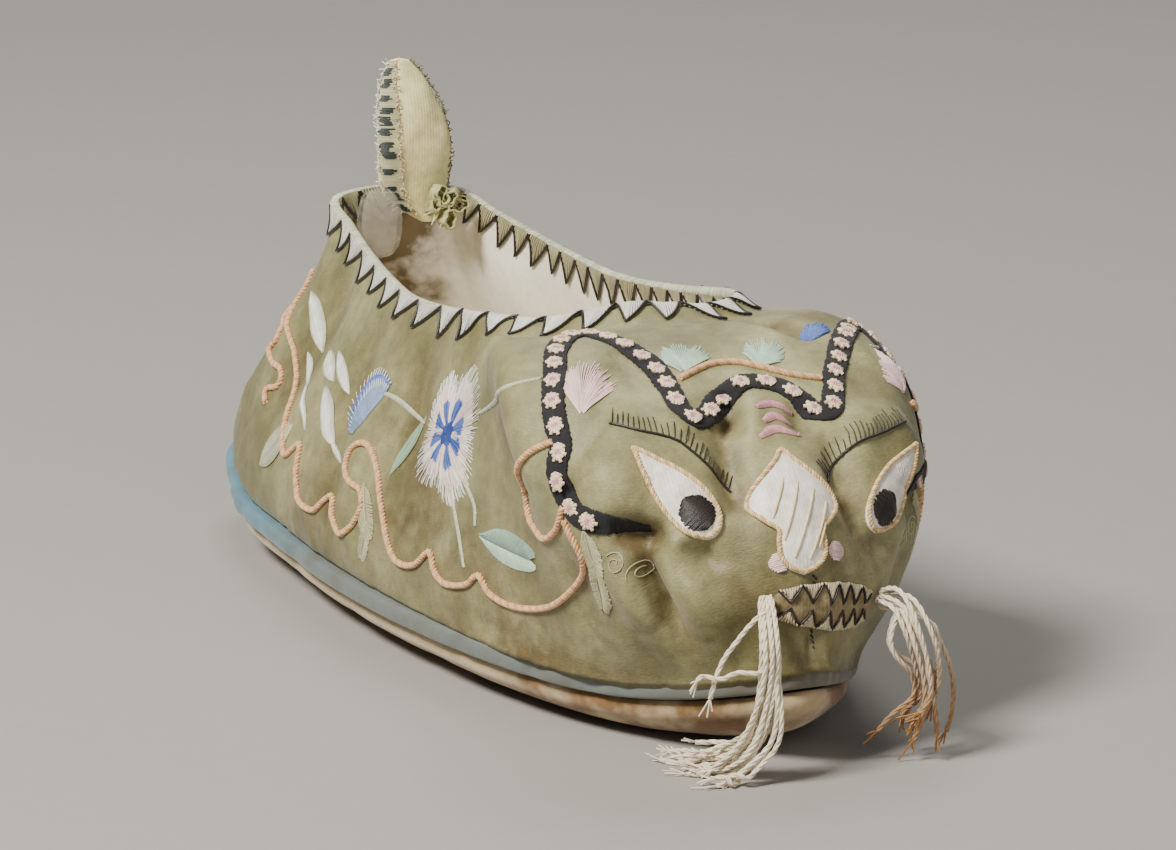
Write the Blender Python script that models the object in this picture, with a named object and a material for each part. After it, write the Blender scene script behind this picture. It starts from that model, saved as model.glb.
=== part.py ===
"""Tiger head shoe for a small child: a padded silk upper with a tiger's face on a two-layer cloth sole.

Metres, +Z up, +X to the toe, +Y to the wearer's left. The origin lies on the floor under the middle of
the sole. Sizes below are millimetres, with lengths measured from the heel end, and MM scales them.
"""
import math
from collections import namedtuple

import bmesh
import bpy
import numpy as np
from mathutils import Vector

MM = 0.001

# Driving dimensions
SOLE_LENGTH = 136.0
BALL_WIDTH = 50.0
COLLAR_WIDTH = 28.5
HEEL_HEIGHT = 42.2
INSTEP_HEIGHT = 41.0
SIDE_HEIGHT = 37.4
WALL = 2.0
RIM_WALL = 1.2
GAP = 0.3
ORIGIN_FROM_HEEL = 66.0

# Sole layers and its turned-up ends
OUTSOLE_TOP = 4.7
MIDSOLE_TOP = 7.2
INSOLE_THICK = 1.0
TOE_SPRING = 4.5
TOE_SPRING_START = 112.0
HEEL_LIFT = 3.9
HEEL_LIFT_START = 34.0

# Trim that lies on the upper
TEETH = 42
TOOTH_DEPTH = 4.0
TOOTH_VALLEY = 1.0
EDGING_THICK = 0.45
EDGING_GAP = 0.4
EDGING_INSIDE = 2.6
RIBBON_CLIMB_START = 0.82
RIBBON_CLIMB_END = 0.88
RIBBON_WIDTH = 2.5
RIBBON_THICK = 0.6
PATCH_THICK = 0.4
PATCH_CORD = 0.9
EYE_LENGTH = 13.0
EYE_WIDTH = 6.6
NOSE_LENGTH = 14.2
MOUTH_LENGTH = 13.0
MOUTH_WIDTH = 4.4

# Finishes of the materials
Finish = namedtuple("Finish", "colour roughness")
COTTON_SOLE = Finish((0.66, 0.58, 0.42), 0.9)
BLUE_SILK = Finish((0.30, 0.40, 0.45), 0.7)
COTTON_LINING = Finish((0.72, 0.66, 0.52), 0.95)
GREEN_SILK = Finish((0.30, 0.30, 0.17), 0.6)
WHITE_SATIN = Finish((0.72, 0.72, 0.64), 0.5)
BLACK_RIBBON = Finish((0.02, 0.02, 0.025), 0.8)
WHITE_SILK = Finish((0.74, 0.71, 0.64), 0.6)
PALE_SILK = Finish((0.50, 0.50, 0.28), 0.6)
GREY_GAUZE = Finish((0.36, 0.35, 0.31), 0.6)
COTTON_YARN = Finish((0.70, 0.62, 0.46), 0.9)

# How finely the forms are cut
RING_COUNT = 2 * TEETH
WALL_ROWS = 12
RIBBON_SECTIONS = 84
PATCH_POINTS = 20
TAB_POINTS = 14
LOOP_SECTIONS = 24
LOCK_SECTIONS = 10
LOCK_SIDES = 7

# Edges of the sole's layers, bottom first: how far each step lies inside the sole's outline, and its height
Step = namedtuple("Step", "inset height")
OUTSOLE_EDGE = (Step(9.0, 0.0), Step(4.5, 0.9), Step(1.6, 2.3), Step(0.7, 3.2), Step(0.6, 4.0),
                Step(0.9, OUTSOLE_TOP))
MIDSOLE_EDGE = (Step(0.6, OUTSOLE_TOP + GAP), Step(-0.6, 5.4), Step(-1.0, 6.0), Step(-0.6, 6.8),
                Step(0.3, MIDSOLE_TOP))
INSOLE_EDGE = (Step(3.2, MIDSOLE_TOP + GAP), Step(3.2, MIDSOLE_TOP + GAP + INSOLE_THICK))

# A section runs from the sole's edge up to the collar. Station 0 is the toe and 1 the heel. Places along
# are shares of SOLE_LENGTH, foot_out of half BALL_WIDTH and collar_out of half COLLAR_WIDTH. The wall
# bulges towards lean (degrees from +X) by low_out and low_rise near the sole and high_out and high_rise
# near the collar.
Section = namedtuple(
    "Section", "station foot_along foot_out collar_along collar_out lean low_out low_rise high_out high_rise")
SECTIONS = (
    Section(0.00, 1.000, 0.00, 0.699, 0.00, 0, 5.0, 12.0, 25.0, 4.5),
    Section(0.08, 0.967, 0.20, 0.695, 0.41, 36, 9.0, 13.0, 27.5, 5.0),
    Section(0.17, 0.912, 0.42, 0.676, 0.82, 56, 13.5, 13.0, 22.5, 5.5),
    Section(0.28, 0.809, 0.71, 0.625, 1.00, 68, 5.5, 12.0, 8.0, -0.5),
    Section(0.42, 0.654, 0.92, 0.529, 1.00, 80, 2.0, 12.0, 2.5, -4.0),
    Section(0.56, 0.485, 1.00, 0.419, 0.94, 90, 2.0, 12.0, 2.0, -6.0),
    Section(0.70, 0.324, 0.97, 0.324, 0.84, 100, 1.5, 12.0, 1.0, -8.0),
    Section(0.83, 0.169, 0.87, 0.225, 0.70, 118, 1.0, 11.0, 0.0, -9.0),
    Section(0.93, 0.048, 0.56, 0.155, 0.53, 145, 0.5, 10.0, -1.0, -10.0),
    Section(1.00, 0.000, 0.00, 0.140, 0.00, 180, 0.0, 10.0, -1.0, -10.0),
)

# The ribbon's route from the right cheek, over both ears and the crown to the left cheek: station, below 0 on
# the right, and height share
Place = namedtuple("Place", "station height")
RIBBON_ROUTE = (
    Place(-0.110, 0.357), Place(-0.148, 0.373), Place(-0.164, 0.400), Place(-0.157, 0.470),
    Place(-0.141, 0.525), Place(-0.135, 0.577), Place(-0.127, 0.640), Place(-0.117, 0.713),
    Place(-0.110, 0.790), Place(-0.099, 0.865), Place(-0.085, 0.895), Place(-0.065, 0.853),
    Place(-0.053, 0.800), Place(-0.045, 0.745), Place(-0.044, 0.680), Place(-0.045, 0.620),
    Place(-0.040, 0.588), Place(-0.030, 0.604), Place(-0.018, 0.637), Place(0.004, 0.668),
    Place(0.022, 0.653), Place(0.032, 0.620), Place(0.038, 0.585), Place(0.047, 0.574),
    Place(0.057, 0.617), Place(0.068, 0.667), Place(0.095, 0.723), Place(0.130, 0.750),
    Place(0.155, 0.748), Place(0.168, 0.710), Place(0.166, 0.640), Place(0.168, 0.570),
    Place(0.176, 0.500), Place(0.178, 0.430), Place(0.165, 0.395), Place(0.130, 0.372),
)

# Places on the face: each eye's pointed outer end and its round inner end, the nose, the mouth, the whiskers
RIGHT_EYE = (Place(-0.087, 0.530), Place(-0.062, 0.340))
LEFT_EYE = (Place(0.115, 0.465), Place(0.068, 0.315))
NOSE_PLACE = Place(0.002, 0.365)
MOUTH_PLACE = Place(0.030, 0.160)
RIGHT_WHISKER = Place(-0.047, 0.197)
LEFT_WHISKER = Place(0.098, 0.160)

# Half outline of the nose, from its rounded foot to its pointed top: shares of NOSE_LENGTH
NoseRow = namedtuple("NoseRow", "along half_width")
NOSE_OUTLINE = (
    NoseRow(0.04, 0.10), NoseRow(0.12, 0.17), NoseRow(0.24, 0.18), NoseRow(0.32, 0.17), NoseRow(0.40, 0.26),
    NoseRow(0.53, 0.36), NoseRow(0.66, 0.32), NoseRow(0.80, 0.18), NoseRow(0.91, 0.07),
)

# The tail tab, from its root inside the heel to its tip: height, half width and half thickness, with the
# place of its middle along and across
TabRow = namedtuple("TabRow", "height half_width half_thick along across")
TAB_ROWS = (
    TabRow(38.1, 3.2, 0.7, 23.6, 1.3), TabRow(41.2, 3.8, 1.0, 24.1, 1.3), TabRow(44.2, 4.5, 1.5, 24.9, 1.2),
    TabRow(47.7, 4.7, 1.8, 25.2, 1.0), TabRow(51.2, 4.5, 1.8, 25.1, 0.7), TabRow(54.2, 3.8, 1.6, 24.7, 0.3),
    TabRow(56.7, 2.7, 1.2, 24.3, -0.1), TabRow(58.5, 1.3, 0.7, 23.9, -0.4),
)

# Locks of the two whiskers: along, across and height of each point. The first lock of each starts at the
# whisker's root, and the others are fused to its side.
Lock = namedtuple("Lock", "root_radius tip_radius points")
RIGHT_LOCKS = (
    Lock(1.4, 1.1, ((138.0, -6.0, 15.7), (138.0, -6.0, 12.0), (137.3, -6.3, 8.0), (136.0, -7.0, 4.6),
                    (133.4, -8.6, 2.0), (131.7, -10.5, 1.5), (130.5, -12.7, 1.4))),
    Lock(0.6, 0.5, ((138.2, -5.6, 13.0), (138.6, -5.4, 8.5), (138.0, -5.8, 4.5), (136.8, -8.6, 1.5),
                    (136.5, -10.4, 1.0), (134.5, -12.5, 0.9))),
    Lock(0.6, 0.5, ((136.0, -7.2, 4.8), (131.0, -9.2, 1.8), (127.5, -11.4, 1.1), (125.0, -12.6, 0.9))),
    Lock(0.5, 0.45, ((136.6, -6.0, 18.6), (135.5, -9.2, 14.7), (135.5, -10.7, 11.5), (135.5, -11.1, 8.8))),
    Lock(0.5, 0.45, ((137.8, -6.4, 12.6), (136.5, -11.9, 11.8), (136.2, -13.8, 11.6), (136.0, -14.7, 10.2))),
)
LEFT_LOCKS = (
    Lock(1.4, 0.9, ((134.8, 11.2, 16.6), (136.2, 12.2, 14.4), (136.6, 13.3, 11.4), (136.6, 13.9, 8.4),
                    (136.2, 13.4, 5.6), (136.0, 12.0, 3.6))),
    Lock(0.6, 0.5, ((135.0, 11.4, 16.4), (136.0, 14.3, 14.5), (136.4, 14.8, 10.7), (136.4, 14.2, 7.4),
                    (136.2, 12.4, 3.4), (135.8, 11.4, 1.8))),
    Lock(0.6, 0.5, ((134.6, 10.8, 16.2), (135.5, 9.6, 12.7), (136.0, 12.1, 9.8), (136.0, 12.7, 7.0),
                    (135.6, 10.3, 4.8), (135.0, 9.4, 3.0))),
    Lock(0.5, 0.45, ((134.8, 11.0, 16.4), (137.2, 11.4, 13.0), (137.8, 12.6, 9.0), (137.4, 13.0, 5.0),
                     (136.8, 12.6, 2.0))),
)

# The folded gauze loop, seen from the side: along and height of its turns, and its middle across
LOOP_TURNS = ((28.0, 39.9), (27.6, 42.5), (26.9, 43.3), (26.3, 42.3), (26.1, 39.9), (26.1, 37.1),
              (26.9, 35.1), (27.7, 36.9))
LOOP_ACROSS = -3.9
LOOP_WIDTH = 3.6
LOOP_THICK = 0.35

# The knot of tied ribbon in front of the tab's root
KNOT_CENTRE = (27.5, 4.0, 40.9)
KNOT_RADIUS = 1.7
KNOT_LUMPS = 0.18


def smooth_step(x):
    """Ease from 0 to 1."""
    x = min(max(x, 0.0), 1.0)
    return x * x * (3.0 - 2.0 * x)


def sole_rise(along):
    """How far the sole's underside is off the floor: turned up at the toe and at the heel."""
    toe = max(0.0, (along - TOE_SPRING_START) / (SOLE_LENGTH - TOE_SPRING_START))
    heel = max(0.0, (HEEL_LIFT_START - along) / HEEL_LIFT_START)
    return TOE_SPRING * toe ** 2 + HEEL_LIFT * heel ** 2


def collar_height(along):
    """The collar is highest at the heel, lowest at the sides and rises again to the throat."""
    throat = max(s.collar_along for s in SECTIONS) * SOLE_LENGTH
    back = min(s.collar_along for s in SECTIONS) * SOLE_LENGTH
    lowest = 0.5 * (throat + back)
    front = smooth_step((along - lowest) / (throat - lowest))
    rear = max(0.0, (lowest - along) / (lowest - back)) ** 1.5
    return SIDE_HEIGHT + (INSTEP_HEIGHT - SIDE_HEIGHT) * front + (HEEL_HEIGHT - SIDE_HEIGHT) * rear


def section_table():
    """The sections all round, in millimetres: the right side mirrored, then the left, wrapped at the heel."""
    rows = []
    for s in SECTIONS:
        foot_x = s.foot_along * SOLE_LENGTH
        collar_x = s.collar_along * SOLE_LENGTH
        foot_y = s.foot_out * BALL_WIDTH / 2
        collar_y = s.collar_out * COLLAR_WIDTH / 2
        rows.append((s.station, foot_x, foot_y, collar_x, collar_y, s.lean, s.low_out, s.low_rise, s.high_out,
                     s.high_rise))
    left = np.array(rows, float)
    flip = np.ones(left.shape[1])
    flip[[0, 2, 4, 5]] = -1.0
    right = (left * flip)[::-1]
    turn = np.zeros(left.shape[1])
    turn[[0, 5]] = 2.0, 360.0
    ring = np.vstack([right, left[1:]])
    return np.vstack([ring[-3:-1] - turn, ring, ring[1:3] + turn])


TABLE = section_table()
SLOPES = np.gradient(TABLE[:, 1:], TABLE[:, 0], axis=0, edge_order=1)


def section_at(station):
    """The section's values at a station from -1 to 1, on a smooth curve through the table."""
    station = (station + 1.0) % 2.0 - 1.0
    i = int(np.searchsorted(TABLE[:, 0], station, side="right")) - 1
    span = TABLE[i + 1, 0] - TABLE[i, 0]
    u = (station - TABLE[i, 0]) / span
    start, end = TABLE[i, 1:], TABLE[i + 1, 1:]
    ease = u * u * (3.0 - 2.0 * u)
    bend = u * (1.0 - u) * span * ((1.0 - u) * SLOPES[i] - u * SLOPES[i + 1])
    return start + (end - start) * ease + bend


def upper_point(station, height):
    """A point of the upper's outer face: height 0 at the sole's edge, 1 at the collar."""
    foot_x, foot_y, collar_x, collar_y, lean, low_out, low_rise, high_out, high_rise = section_at(station)
    out = np.array((math.cos(math.radians(lean)), math.sin(math.radians(lean)), 0.0))
    foot = np.array((foot_x, foot_y, MIDSOLE_TOP + GAP + sole_rise(foot_x)))
    collar = np.array((collar_x, collar_y, collar_height(collar_x)))
    low = foot + out * low_out + np.array((0.0, 0.0, low_rise))
    high = collar + out * high_out + np.array((0.0, 0.0, high_rise))
    h, k = height, 1.0 - height
    return k ** 3 * foot + 3 * k * k * h * low + 3 * k * h * h * high + h ** 3 * collar


def upper_frame(station, height):
    """Point, outward normal, and the two slopes of the surface per unit of station and height."""
    step = 1e-4
    along = (upper_point(station + step, height) - upper_point(station - step, height)) / (2 * step)
    up = (upper_point(station, height + step) - upper_point(station, height - step)) / (2 * step)
    normal = np.cross(along, up)
    return upper_point(station, height), normal / np.linalg.norm(normal), along, up


def lifted(station, height, lift):
    """A point that stands off the upper's outer face by lift."""
    point, normal, _, _ = upper_frame(station, height)
    return point + normal * lift


def chart_near(station, height, offset):
    """Chart place whose surface point lies offset away, measured in the tangent plane at the start."""
    base, normal, along, up = upper_frame(station, height)
    target = base + offset
    s, h = station, height
    for _ in range(4):
        point, _, along, up = upper_frame(s, h)
        miss = target - point
        miss = miss - normal * miss.dot(normal)
        step = np.linalg.lstsq(np.column_stack([along, up]), miss, rcond=None)[0]
        s, h = s + step[0], h + step[1]
    return s, h


def to_scene(point):
    """Millimetres from the heel to metres from the origin."""
    return Vector((point[0] - ORIGIN_FROM_HEEL, point[1], point[2])) * MM


def smooth_path(points, count):
    """Points evenly spread along a smooth curve through the given ones."""
    pts = np.array(points, float)
    ends = np.vstack([2 * pts[0] - pts[1], pts, 2 * pts[-1] - pts[-2]])
    dense = []
    for i in range(len(pts) - 1):
        a, b, c, d = ends[i:i + 4]
        for u in np.linspace(0.0, 1.0, 16, endpoint=False):
            dense.append(0.5 * (2 * b + (c - a) * u + (2 * a - 5 * b + 4 * c - d) * u ** 2
                                + (3 * b - a - 3 * c + d) * u ** 3))
    dense = np.array(dense + [pts[-1]])
    run = np.concatenate([[0.0], np.cumsum(np.linalg.norm(np.diff(dense, axis=0), axis=1))])
    places = np.linspace(0.0, run[-1], count)
    return np.column_stack([np.interp(places, run, dense[:, c]) for c in range(dense.shape[1])])


def plain_material(name, look):
    """Principled material of one finish."""
    material = bpy.data.materials.new(name)
    material.use_nodes = True
    shader = material.node_tree.nodes["Principled BSDF"]
    shader.inputs["Base Color"].default_value = (*look.colour, 1.0)
    shader.inputs["Roughness"].default_value = look.roughness
    shader.inputs["Metallic"].default_value = 0.0
    return material


def make_object(bm, name, collection, look):
    """Turn a closed bmesh, its faces set to point out, into a named object with its own material."""
    bmesh.ops.recalc_face_normals(bm, faces=bm.faces)
    if bm.calc_volume(signed=True) < 0.0:
        bmesh.ops.reverse_faces(bm, faces=bm.faces)
    mesh = bpy.data.meshes.new(name)
    bm.to_mesh(mesh)
    bm.free()
    mesh.shade_smooth()
    mesh.set_sharp_from_angle(angle=math.radians(40.0))
    mesh.materials.append(plain_material(name, look))
    obj = bpy.data.objects.new(name, mesh)
    collection.objects.link(obj)
    return obj


def add_ring(bm, points):
    """Vertices of one ring or row, from points in millimetres."""
    return [bm.verts.new(to_scene(p)) for p in points]


def join_rings(bm, rings, closed=True):
    """Faces between each ring and the next."""
    count = len(rings[0])
    for lower, upper in zip(rings, rings[1:]):
        for i in range(count if closed else count - 1):
            j = (i + 1) % count
            bm.faces.new((lower[i], lower[j], upper[j], upper[i]))


def ring_stations():
    """Stations all round, from the heel along the right side to the toe and back along the left."""
    return [-1.0 + 2.0 * k / RING_COUNT for k in range(RING_COUNT)]


def foot_ring(inset):
    """The sole's outline in plan, drawn in by inset at its ends and sides, heel first and anticlockwise."""
    middle = SOLE_LENGTH / 2
    along, across = 1.0 - inset / middle, 1.0 - inset / (BALL_WIDTH / 2)
    outline = [section_at(station)[:2] for station in ring_stations()]
    return [(middle + (x - middle) * along, y * across) for x, y in outline]


def sole_layer(name, profile, collection, look):
    """A layer of the sole from the steps of its edge."""
    bm = bmesh.new()
    rings = []
    for inset, height in profile:
        rings.append(add_ring(bm, [(x, y, sole_rise(x) + height) for x, y in foot_ring(inset)]))
    join_rings(bm, rings)
    half = RING_COUNT // 2
    for ring in (rings[0], rings[-1]):
        bm.faces.new((ring[0], ring[1], ring[-1]))
        bm.faces.new((ring[half - 1], ring[half], ring[half + 1]))
        for k in range(1, half - 1):
            bm.faces.new((ring[k], ring[k + 1], ring[RING_COUNT - k - 1], ring[RING_COUNT - k]))
    make_object(bm, name, collection, look)


def build_soles(collection):
    """Cream cotton outsole, blue silk covered midsole and the insole inside."""
    sole_layer("outsole", OUTSOLE_EDGE, collection, COTTON_SOLE)
    sole_layer("midsole", MIDSOLE_EDGE, collection, BLUE_SILK)
    sole_layer("insole", INSOLE_EDGE, collection, COTTON_LINING)


def wall_at(height):
    """Thickness of the padded wall, which thins to the collar."""
    return WALL + (RIM_WALL - WALL) * smooth_step((height - 0.6) / 0.4)


def build_upper(collection):
    """The hollow upper: a lofted outer face and the face of its wall inside, joined at collar and foot."""
    bm = bmesh.new()
    stations = ring_stations()
    heights = np.linspace(0.0, 1.0, WALL_ROWS)
    outer = [add_ring(bm, [upper_point(s, h) for s in stations]) for h in heights]
    inner = [add_ring(bm, [lifted(s, h, -wall_at(h)) for s in stations]) for h in reversed(heights)]
    join_rings(bm, outer + inner + outer[:1])
    make_object(bm, "upper", collection, GREEN_SILK)


def height_below_collar(station, distance):
    """The height share that lies distance below the collar, measured down the wall."""
    heights = np.linspace(1.0, 0.5, 26)
    points = np.array([upper_point(station, h) for h in heights])
    run = np.concatenate([[0.0], np.cumsum(np.linalg.norm(np.diff(points, axis=0), axis=1))])
    return float(np.interp(distance, run, heights))


def build_edging(collection):
    """Toothed satin edging, folded over the collar with a clear gap to the wall on both sides."""
    outer_lifts = (EDGING_GAP, EDGING_GAP + EDGING_THICK)
    bm = bmesh.new()
    columns = []
    for k, station in enumerate(ring_stations()):
        depth = TOOTH_DEPTH if k % 2 else TOOTH_VALLEY
        tooth, middle, back = (height_below_collar(station, d) for d in (depth, depth / 2, EDGING_INSIDE))
        rim, normal, _, up = upper_frame(station, 1.0)
        up = up / np.linalg.norm(up)
        faces = []
        for lift in outer_lifts:
            faces.append([lifted(station, tooth, lift), lifted(station, middle, lift),
                          rim + (normal + up) * lift, rim - normal * (RIM_WALL + lift) + up * lift,
                          lifted(station, back, -wall_at(back) - lift)])
        columns.append(add_ring(bm, faces[0] + faces[1][::-1]))
    join_rings(bm, columns + columns[:1])
    make_object(bm, "topline_edging", collection, WHITE_SATIN)


def route_on_upper(route, count):
    """Chart places spread evenly by length along a smooth curve through a route."""
    dense = smooth_path(route, 16 * len(route))
    points = np.array([upper_point(s, h) for s, h in dense])
    run = np.concatenate([[0.0], np.cumsum(np.linalg.norm(np.diff(points, axis=0), axis=1))])
    places = np.linspace(0.0, run[-1], count)
    return np.column_stack([np.interp(places, run, dense[:, c]) for c in range(2)])


def build_face_ribbon(collection):
    """Ribbon that outlines the crown and both ears, lifted where it crosses the edging."""
    chart = route_on_upper(RIBBON_ROUTE, RIBBON_SECTIONS)
    centres = np.array([upper_point(s, h) for s, h in chart])
    runs = np.gradient(centres, axis=0)
    bm = bmesh.new()
    rings = []
    for (station, height), run in zip(chart, runs):
        _, normal, _, _ = upper_frame(station, height)
        side = np.cross(normal, run)
        side *= RIBBON_WIDTH / 2 / np.linalg.norm(side)
        climb = smooth_step((height - RIBBON_CLIMB_START) / (RIBBON_CLIMB_END - RIBBON_CLIMB_START))
        lift = GAP + (EDGING_GAP + EDGING_THICK) * climb
        left, right = chart_near(station, height, side), chart_near(station, height, -side)
        corners = ((left, lift), (right, lift), (right, lift + RIBBON_THICK), (left, lift + RIBBON_THICK))
        rings.append(add_ring(bm, [lifted(*place, stand) for place, stand in corners]))
    join_rings(bm, rings)
    bm.faces.new(rings[0])
    bm.faces.new(rings[-1])
    make_object(bm, "face_ribbon", collection, BLACK_RIBBON)


def build_patch(name, anchor, upwards, outline, collection):
    """A sewn-on patch with a raised cord round it: local outline points (up, across) about an anchor."""
    _, normal, _, _ = upper_frame(*anchor)
    first = upwards - normal * upwards.dot(normal)
    first /= np.linalg.norm(first)
    second = np.cross(normal, first)
    cord_top = GAP + PATCH_CORD
    field = GAP + PATCH_THICK
    bm = bmesh.new()
    # Rings from the back round the cord to the field: share of the outline, and lift
    steps = ((0.5, GAP), (1.0, GAP), (1.0, 0.7 * cord_top), (0.93, cord_top), (0.84, field), (0.45, field))
    rings = []
    for share, lift in steps:
        places = [chart_near(*anchor, (first * a + second * b) * share) for a, b in outline]
        rings.append(add_ring(bm, [lifted(*place, lift) for place in places]))
    join_rings(bm, rings)
    for ring, lift in ((rings[0], GAP), (rings[-1], field)):
        middle = bm.verts.new(to_scene(lifted(*anchor, lift)))
        for i in range(len(ring)):
            bm.faces.new((ring[i - 1], ring[i], middle))
    make_object(bm, name, collection, WHITE_SILK)


def eye_outline():
    """Teardrop with its point up."""
    points = []
    for angle in np.linspace(0.0, 2.0 * math.pi, PATCH_POINTS, endpoint=False):
        across = math.sin(angle) * math.sin(angle / 2.0) ** 1.2
        points.append((EYE_LENGTH / 2 * math.cos(angle), EYE_WIDTH / 2 * across))
    return points


def nose_outline():
    """Ogee with a round foot, a waist, wide sides and a pointed top, about its middle."""
    side = [((row.along - 0.5) * NOSE_LENGTH, row.half_width * NOSE_LENGTH) for row in NOSE_OUTLINE]
    foot, top = (-0.5 * NOSE_LENGTH, 0.0), (0.5 * NOSE_LENGTH, 0.0)
    return [foot] + side + [top] + [(a, -b) for a, b in reversed(side)]


def mouth_outline():
    """Flat oval."""
    angles = np.linspace(0.0, 2.0 * math.pi, PATCH_POINTS, endpoint=False)
    return [(MOUTH_WIDTH / 2 * math.cos(a), MOUTH_LENGTH / 2 * math.sin(a)) for a in angles]


def build_face(collection):
    """Eyes, nose and mouth."""
    upright = np.array((0.0, 0.0, 1.0))
    for name, (tip, foot) in (("eye_right", RIGHT_EYE), ("eye_left", LEFT_EYE)):
        anchor = ((tip.station + foot.station) / 2, (tip.height + foot.height) / 2)
        build_patch(name, anchor, upper_point(*tip) - upper_point(*foot), eye_outline(), collection)
    build_patch("nose", NOSE_PLACE, upright, nose_outline(), collection)
    build_patch("mouth", MOUTH_PLACE, upright, mouth_outline(), collection)


def build_heel_tab(collection):
    """The tail: a padded leaf lofted from lens sections and closed at root and tip."""
    bm = bmesh.new()
    rings = []
    for row in TAB_ROWS:
        ring = []
        for angle in np.linspace(0.0, 2.0 * math.pi, TAB_POINTS, endpoint=False):
            along = row.along + row.half_thick * math.sin(angle)
            ring.append((along, row.across + row.half_width * math.cos(angle), row.height))
        rings.append(add_ring(bm, ring))
    join_rings(bm, rings)
    bm.faces.new(rings[0])
    bm.faces.new(rings[-1])
    make_object(bm, "heel_tab", collection, PALE_SILK)


def build_heel_ribbons(collection):
    """The folded gauze loop and the tied knot inside the heel."""
    turns = np.array(LOOP_TURNS, float)
    path = smooth_path(np.vstack([turns, turns[:1]]), LOOP_SECTIONS + 1)[:-1]
    runs = np.roll(path, -1, axis=0) - np.roll(path, 1, axis=0)
    outwards = np.column_stack([runs[:, 1], -runs[:, 0]]) / np.linalg.norm(runs, axis=1)[:, None]
    bm = bmesh.new()
    rings = []
    for edge, depth in ((-1, 0.0), (1, 0.0), (1, 1.0), (-1, 1.0)):
        across = LOOP_ACROSS + edge * LOOP_WIDTH / 2
        turn = path - outwards * depth * LOOP_THICK
        rings.append(add_ring(bm, [(x, across, z) for x, z in turn]))
    join_rings(bm, rings + rings[:1])
    make_object(bm, "gauze_loop", collection, GREY_GAUZE)

    bm = bmesh.new()
    bmesh.ops.create_uvsphere(bm, u_segments=14, v_segments=9, radius=KNOT_RADIUS * MM)
    for vert in bm.verts:
        side = math.atan2(vert.co.y, vert.co.x)
        lump = math.cos(3.0 * side) * math.cos(2.0 * vert.co.z / (KNOT_RADIUS * MM))
        vert.co *= 1.0 + KNOT_LUMPS * lump
    bmesh.ops.translate(bm, verts=bm.verts, vec=to_scene(KNOT_CENTRE))
    make_object(bm, "ribbon_knot", collection, PALE_SILK)


def lock_mesh(bm, points, root_radius, tip_radius):
    """A round lock of yarn along a smooth path, thinner at its tip."""
    path = smooth_path(points, LOCK_SECTIONS)
    rings = []
    for i, (point, run) in enumerate(zip(path, np.gradient(path, axis=0))):
        share = i / (LOCK_SECTIONS - 1)
        radius = root_radius + (tip_radius - root_radius) * share
        run = run / np.linalg.norm(run)
        first = np.cross(run, (0.3, 1.0, 0.2))
        first /= np.linalg.norm(first)
        second = np.cross(run, first)
        ring = []
        for angle in np.linspace(0.0, 2.0 * math.pi, LOCK_SIDES, endpoint=False):
            ring.append(point + radius * (math.cos(angle) * first + math.sin(angle) * second))
        rings.append(add_ring(bm, ring))
    join_rings(bm, rings)
    bm.faces.new(rings[0])
    bm.faces.new(rings[-1])


def build_tassel(name, place, locks, collection, helpers):
    """A whisker: a main lock from the corner of the mouth, with the smaller locks fused on."""
    main = locks[0]
    root = lifted(*place, main.root_radius + GAP)
    bm = bmesh.new()
    lock_mesh(bm, [root, *main.points], main.root_radius, main.tip_radius)
    tassel = make_object(bm, name, collection, COTTON_YARN)
    for number, lock in enumerate(locks[1:]):
        bm = bmesh.new()
        lock_mesh(bm, lock.points, lock.root_radius, lock.tip_radius)
        helper = make_object(bm, f"{name}_lock_{number}", helpers, COTTON_YARN)
        helper.hide_render = True
        helper.display_type = "WIRE"
        fuse = tassel.modifiers.new(helper.name, "BOOLEAN")
        fuse.operation = "UNION"
        fuse.object = helper


def main():
    """Clear the scene and build every sub-part."""
    for obj in list(bpy.data.objects):
        bpy.data.objects.remove(obj, do_unlink=True)
    collection = bpy.data.collections.new("tiger_head_shoe")
    helpers = bpy.data.collections.new("fused_locks")
    for each in (collection, helpers):
        bpy.context.scene.collection.children.link(each)
    build_soles(collection)
    build_upper(collection)
    build_edging(collection)
    build_face_ribbon(collection)
    build_face(collection)
    build_heel_tab(collection)
    build_heel_ribbons(collection)
    build_tassel("tassel_right", RIGHT_WHISKER, RIGHT_LOCKS, collection, helpers)
    build_tassel("tassel_left", LEFT_WHISKER, LEFT_LOCKS, collection, helpers)


if __name__ == "__main__":
    main()
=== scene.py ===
"""Looks of a child's tiger head shoe: silk, embroidery, ribbon, cords, whiskers and cloth sole on its frame.

Lengths in the tables are millimetres from the heel end of the sole, and to_scene turns them into metres.
A place on the upper is a pair: its station, 0 at the toe and 1 at the heel, below 0 on the wearer's right,
and its height share, 0 at the sole and 1 at the collar.
"""

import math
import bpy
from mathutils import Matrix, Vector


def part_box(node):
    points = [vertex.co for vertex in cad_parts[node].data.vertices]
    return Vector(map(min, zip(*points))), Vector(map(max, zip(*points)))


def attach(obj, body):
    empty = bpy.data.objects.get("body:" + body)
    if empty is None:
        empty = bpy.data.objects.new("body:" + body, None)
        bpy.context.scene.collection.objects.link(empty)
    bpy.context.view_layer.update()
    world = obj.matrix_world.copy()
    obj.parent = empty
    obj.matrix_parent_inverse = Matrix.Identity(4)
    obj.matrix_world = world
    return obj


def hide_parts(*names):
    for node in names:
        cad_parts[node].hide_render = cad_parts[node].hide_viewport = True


bl_info = {
    "name": "Tiger head shoe",
    "version": (1, 1, 0),
    "blender": (4, 5, 0),
    "location": "3D View > Sidebar > Shoe",
    "description": "Makes the silk, embroidery, cords and cloth sole of a child's tiger head shoe",
    "category": "Object",
}

from collections import namedtuple

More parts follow.
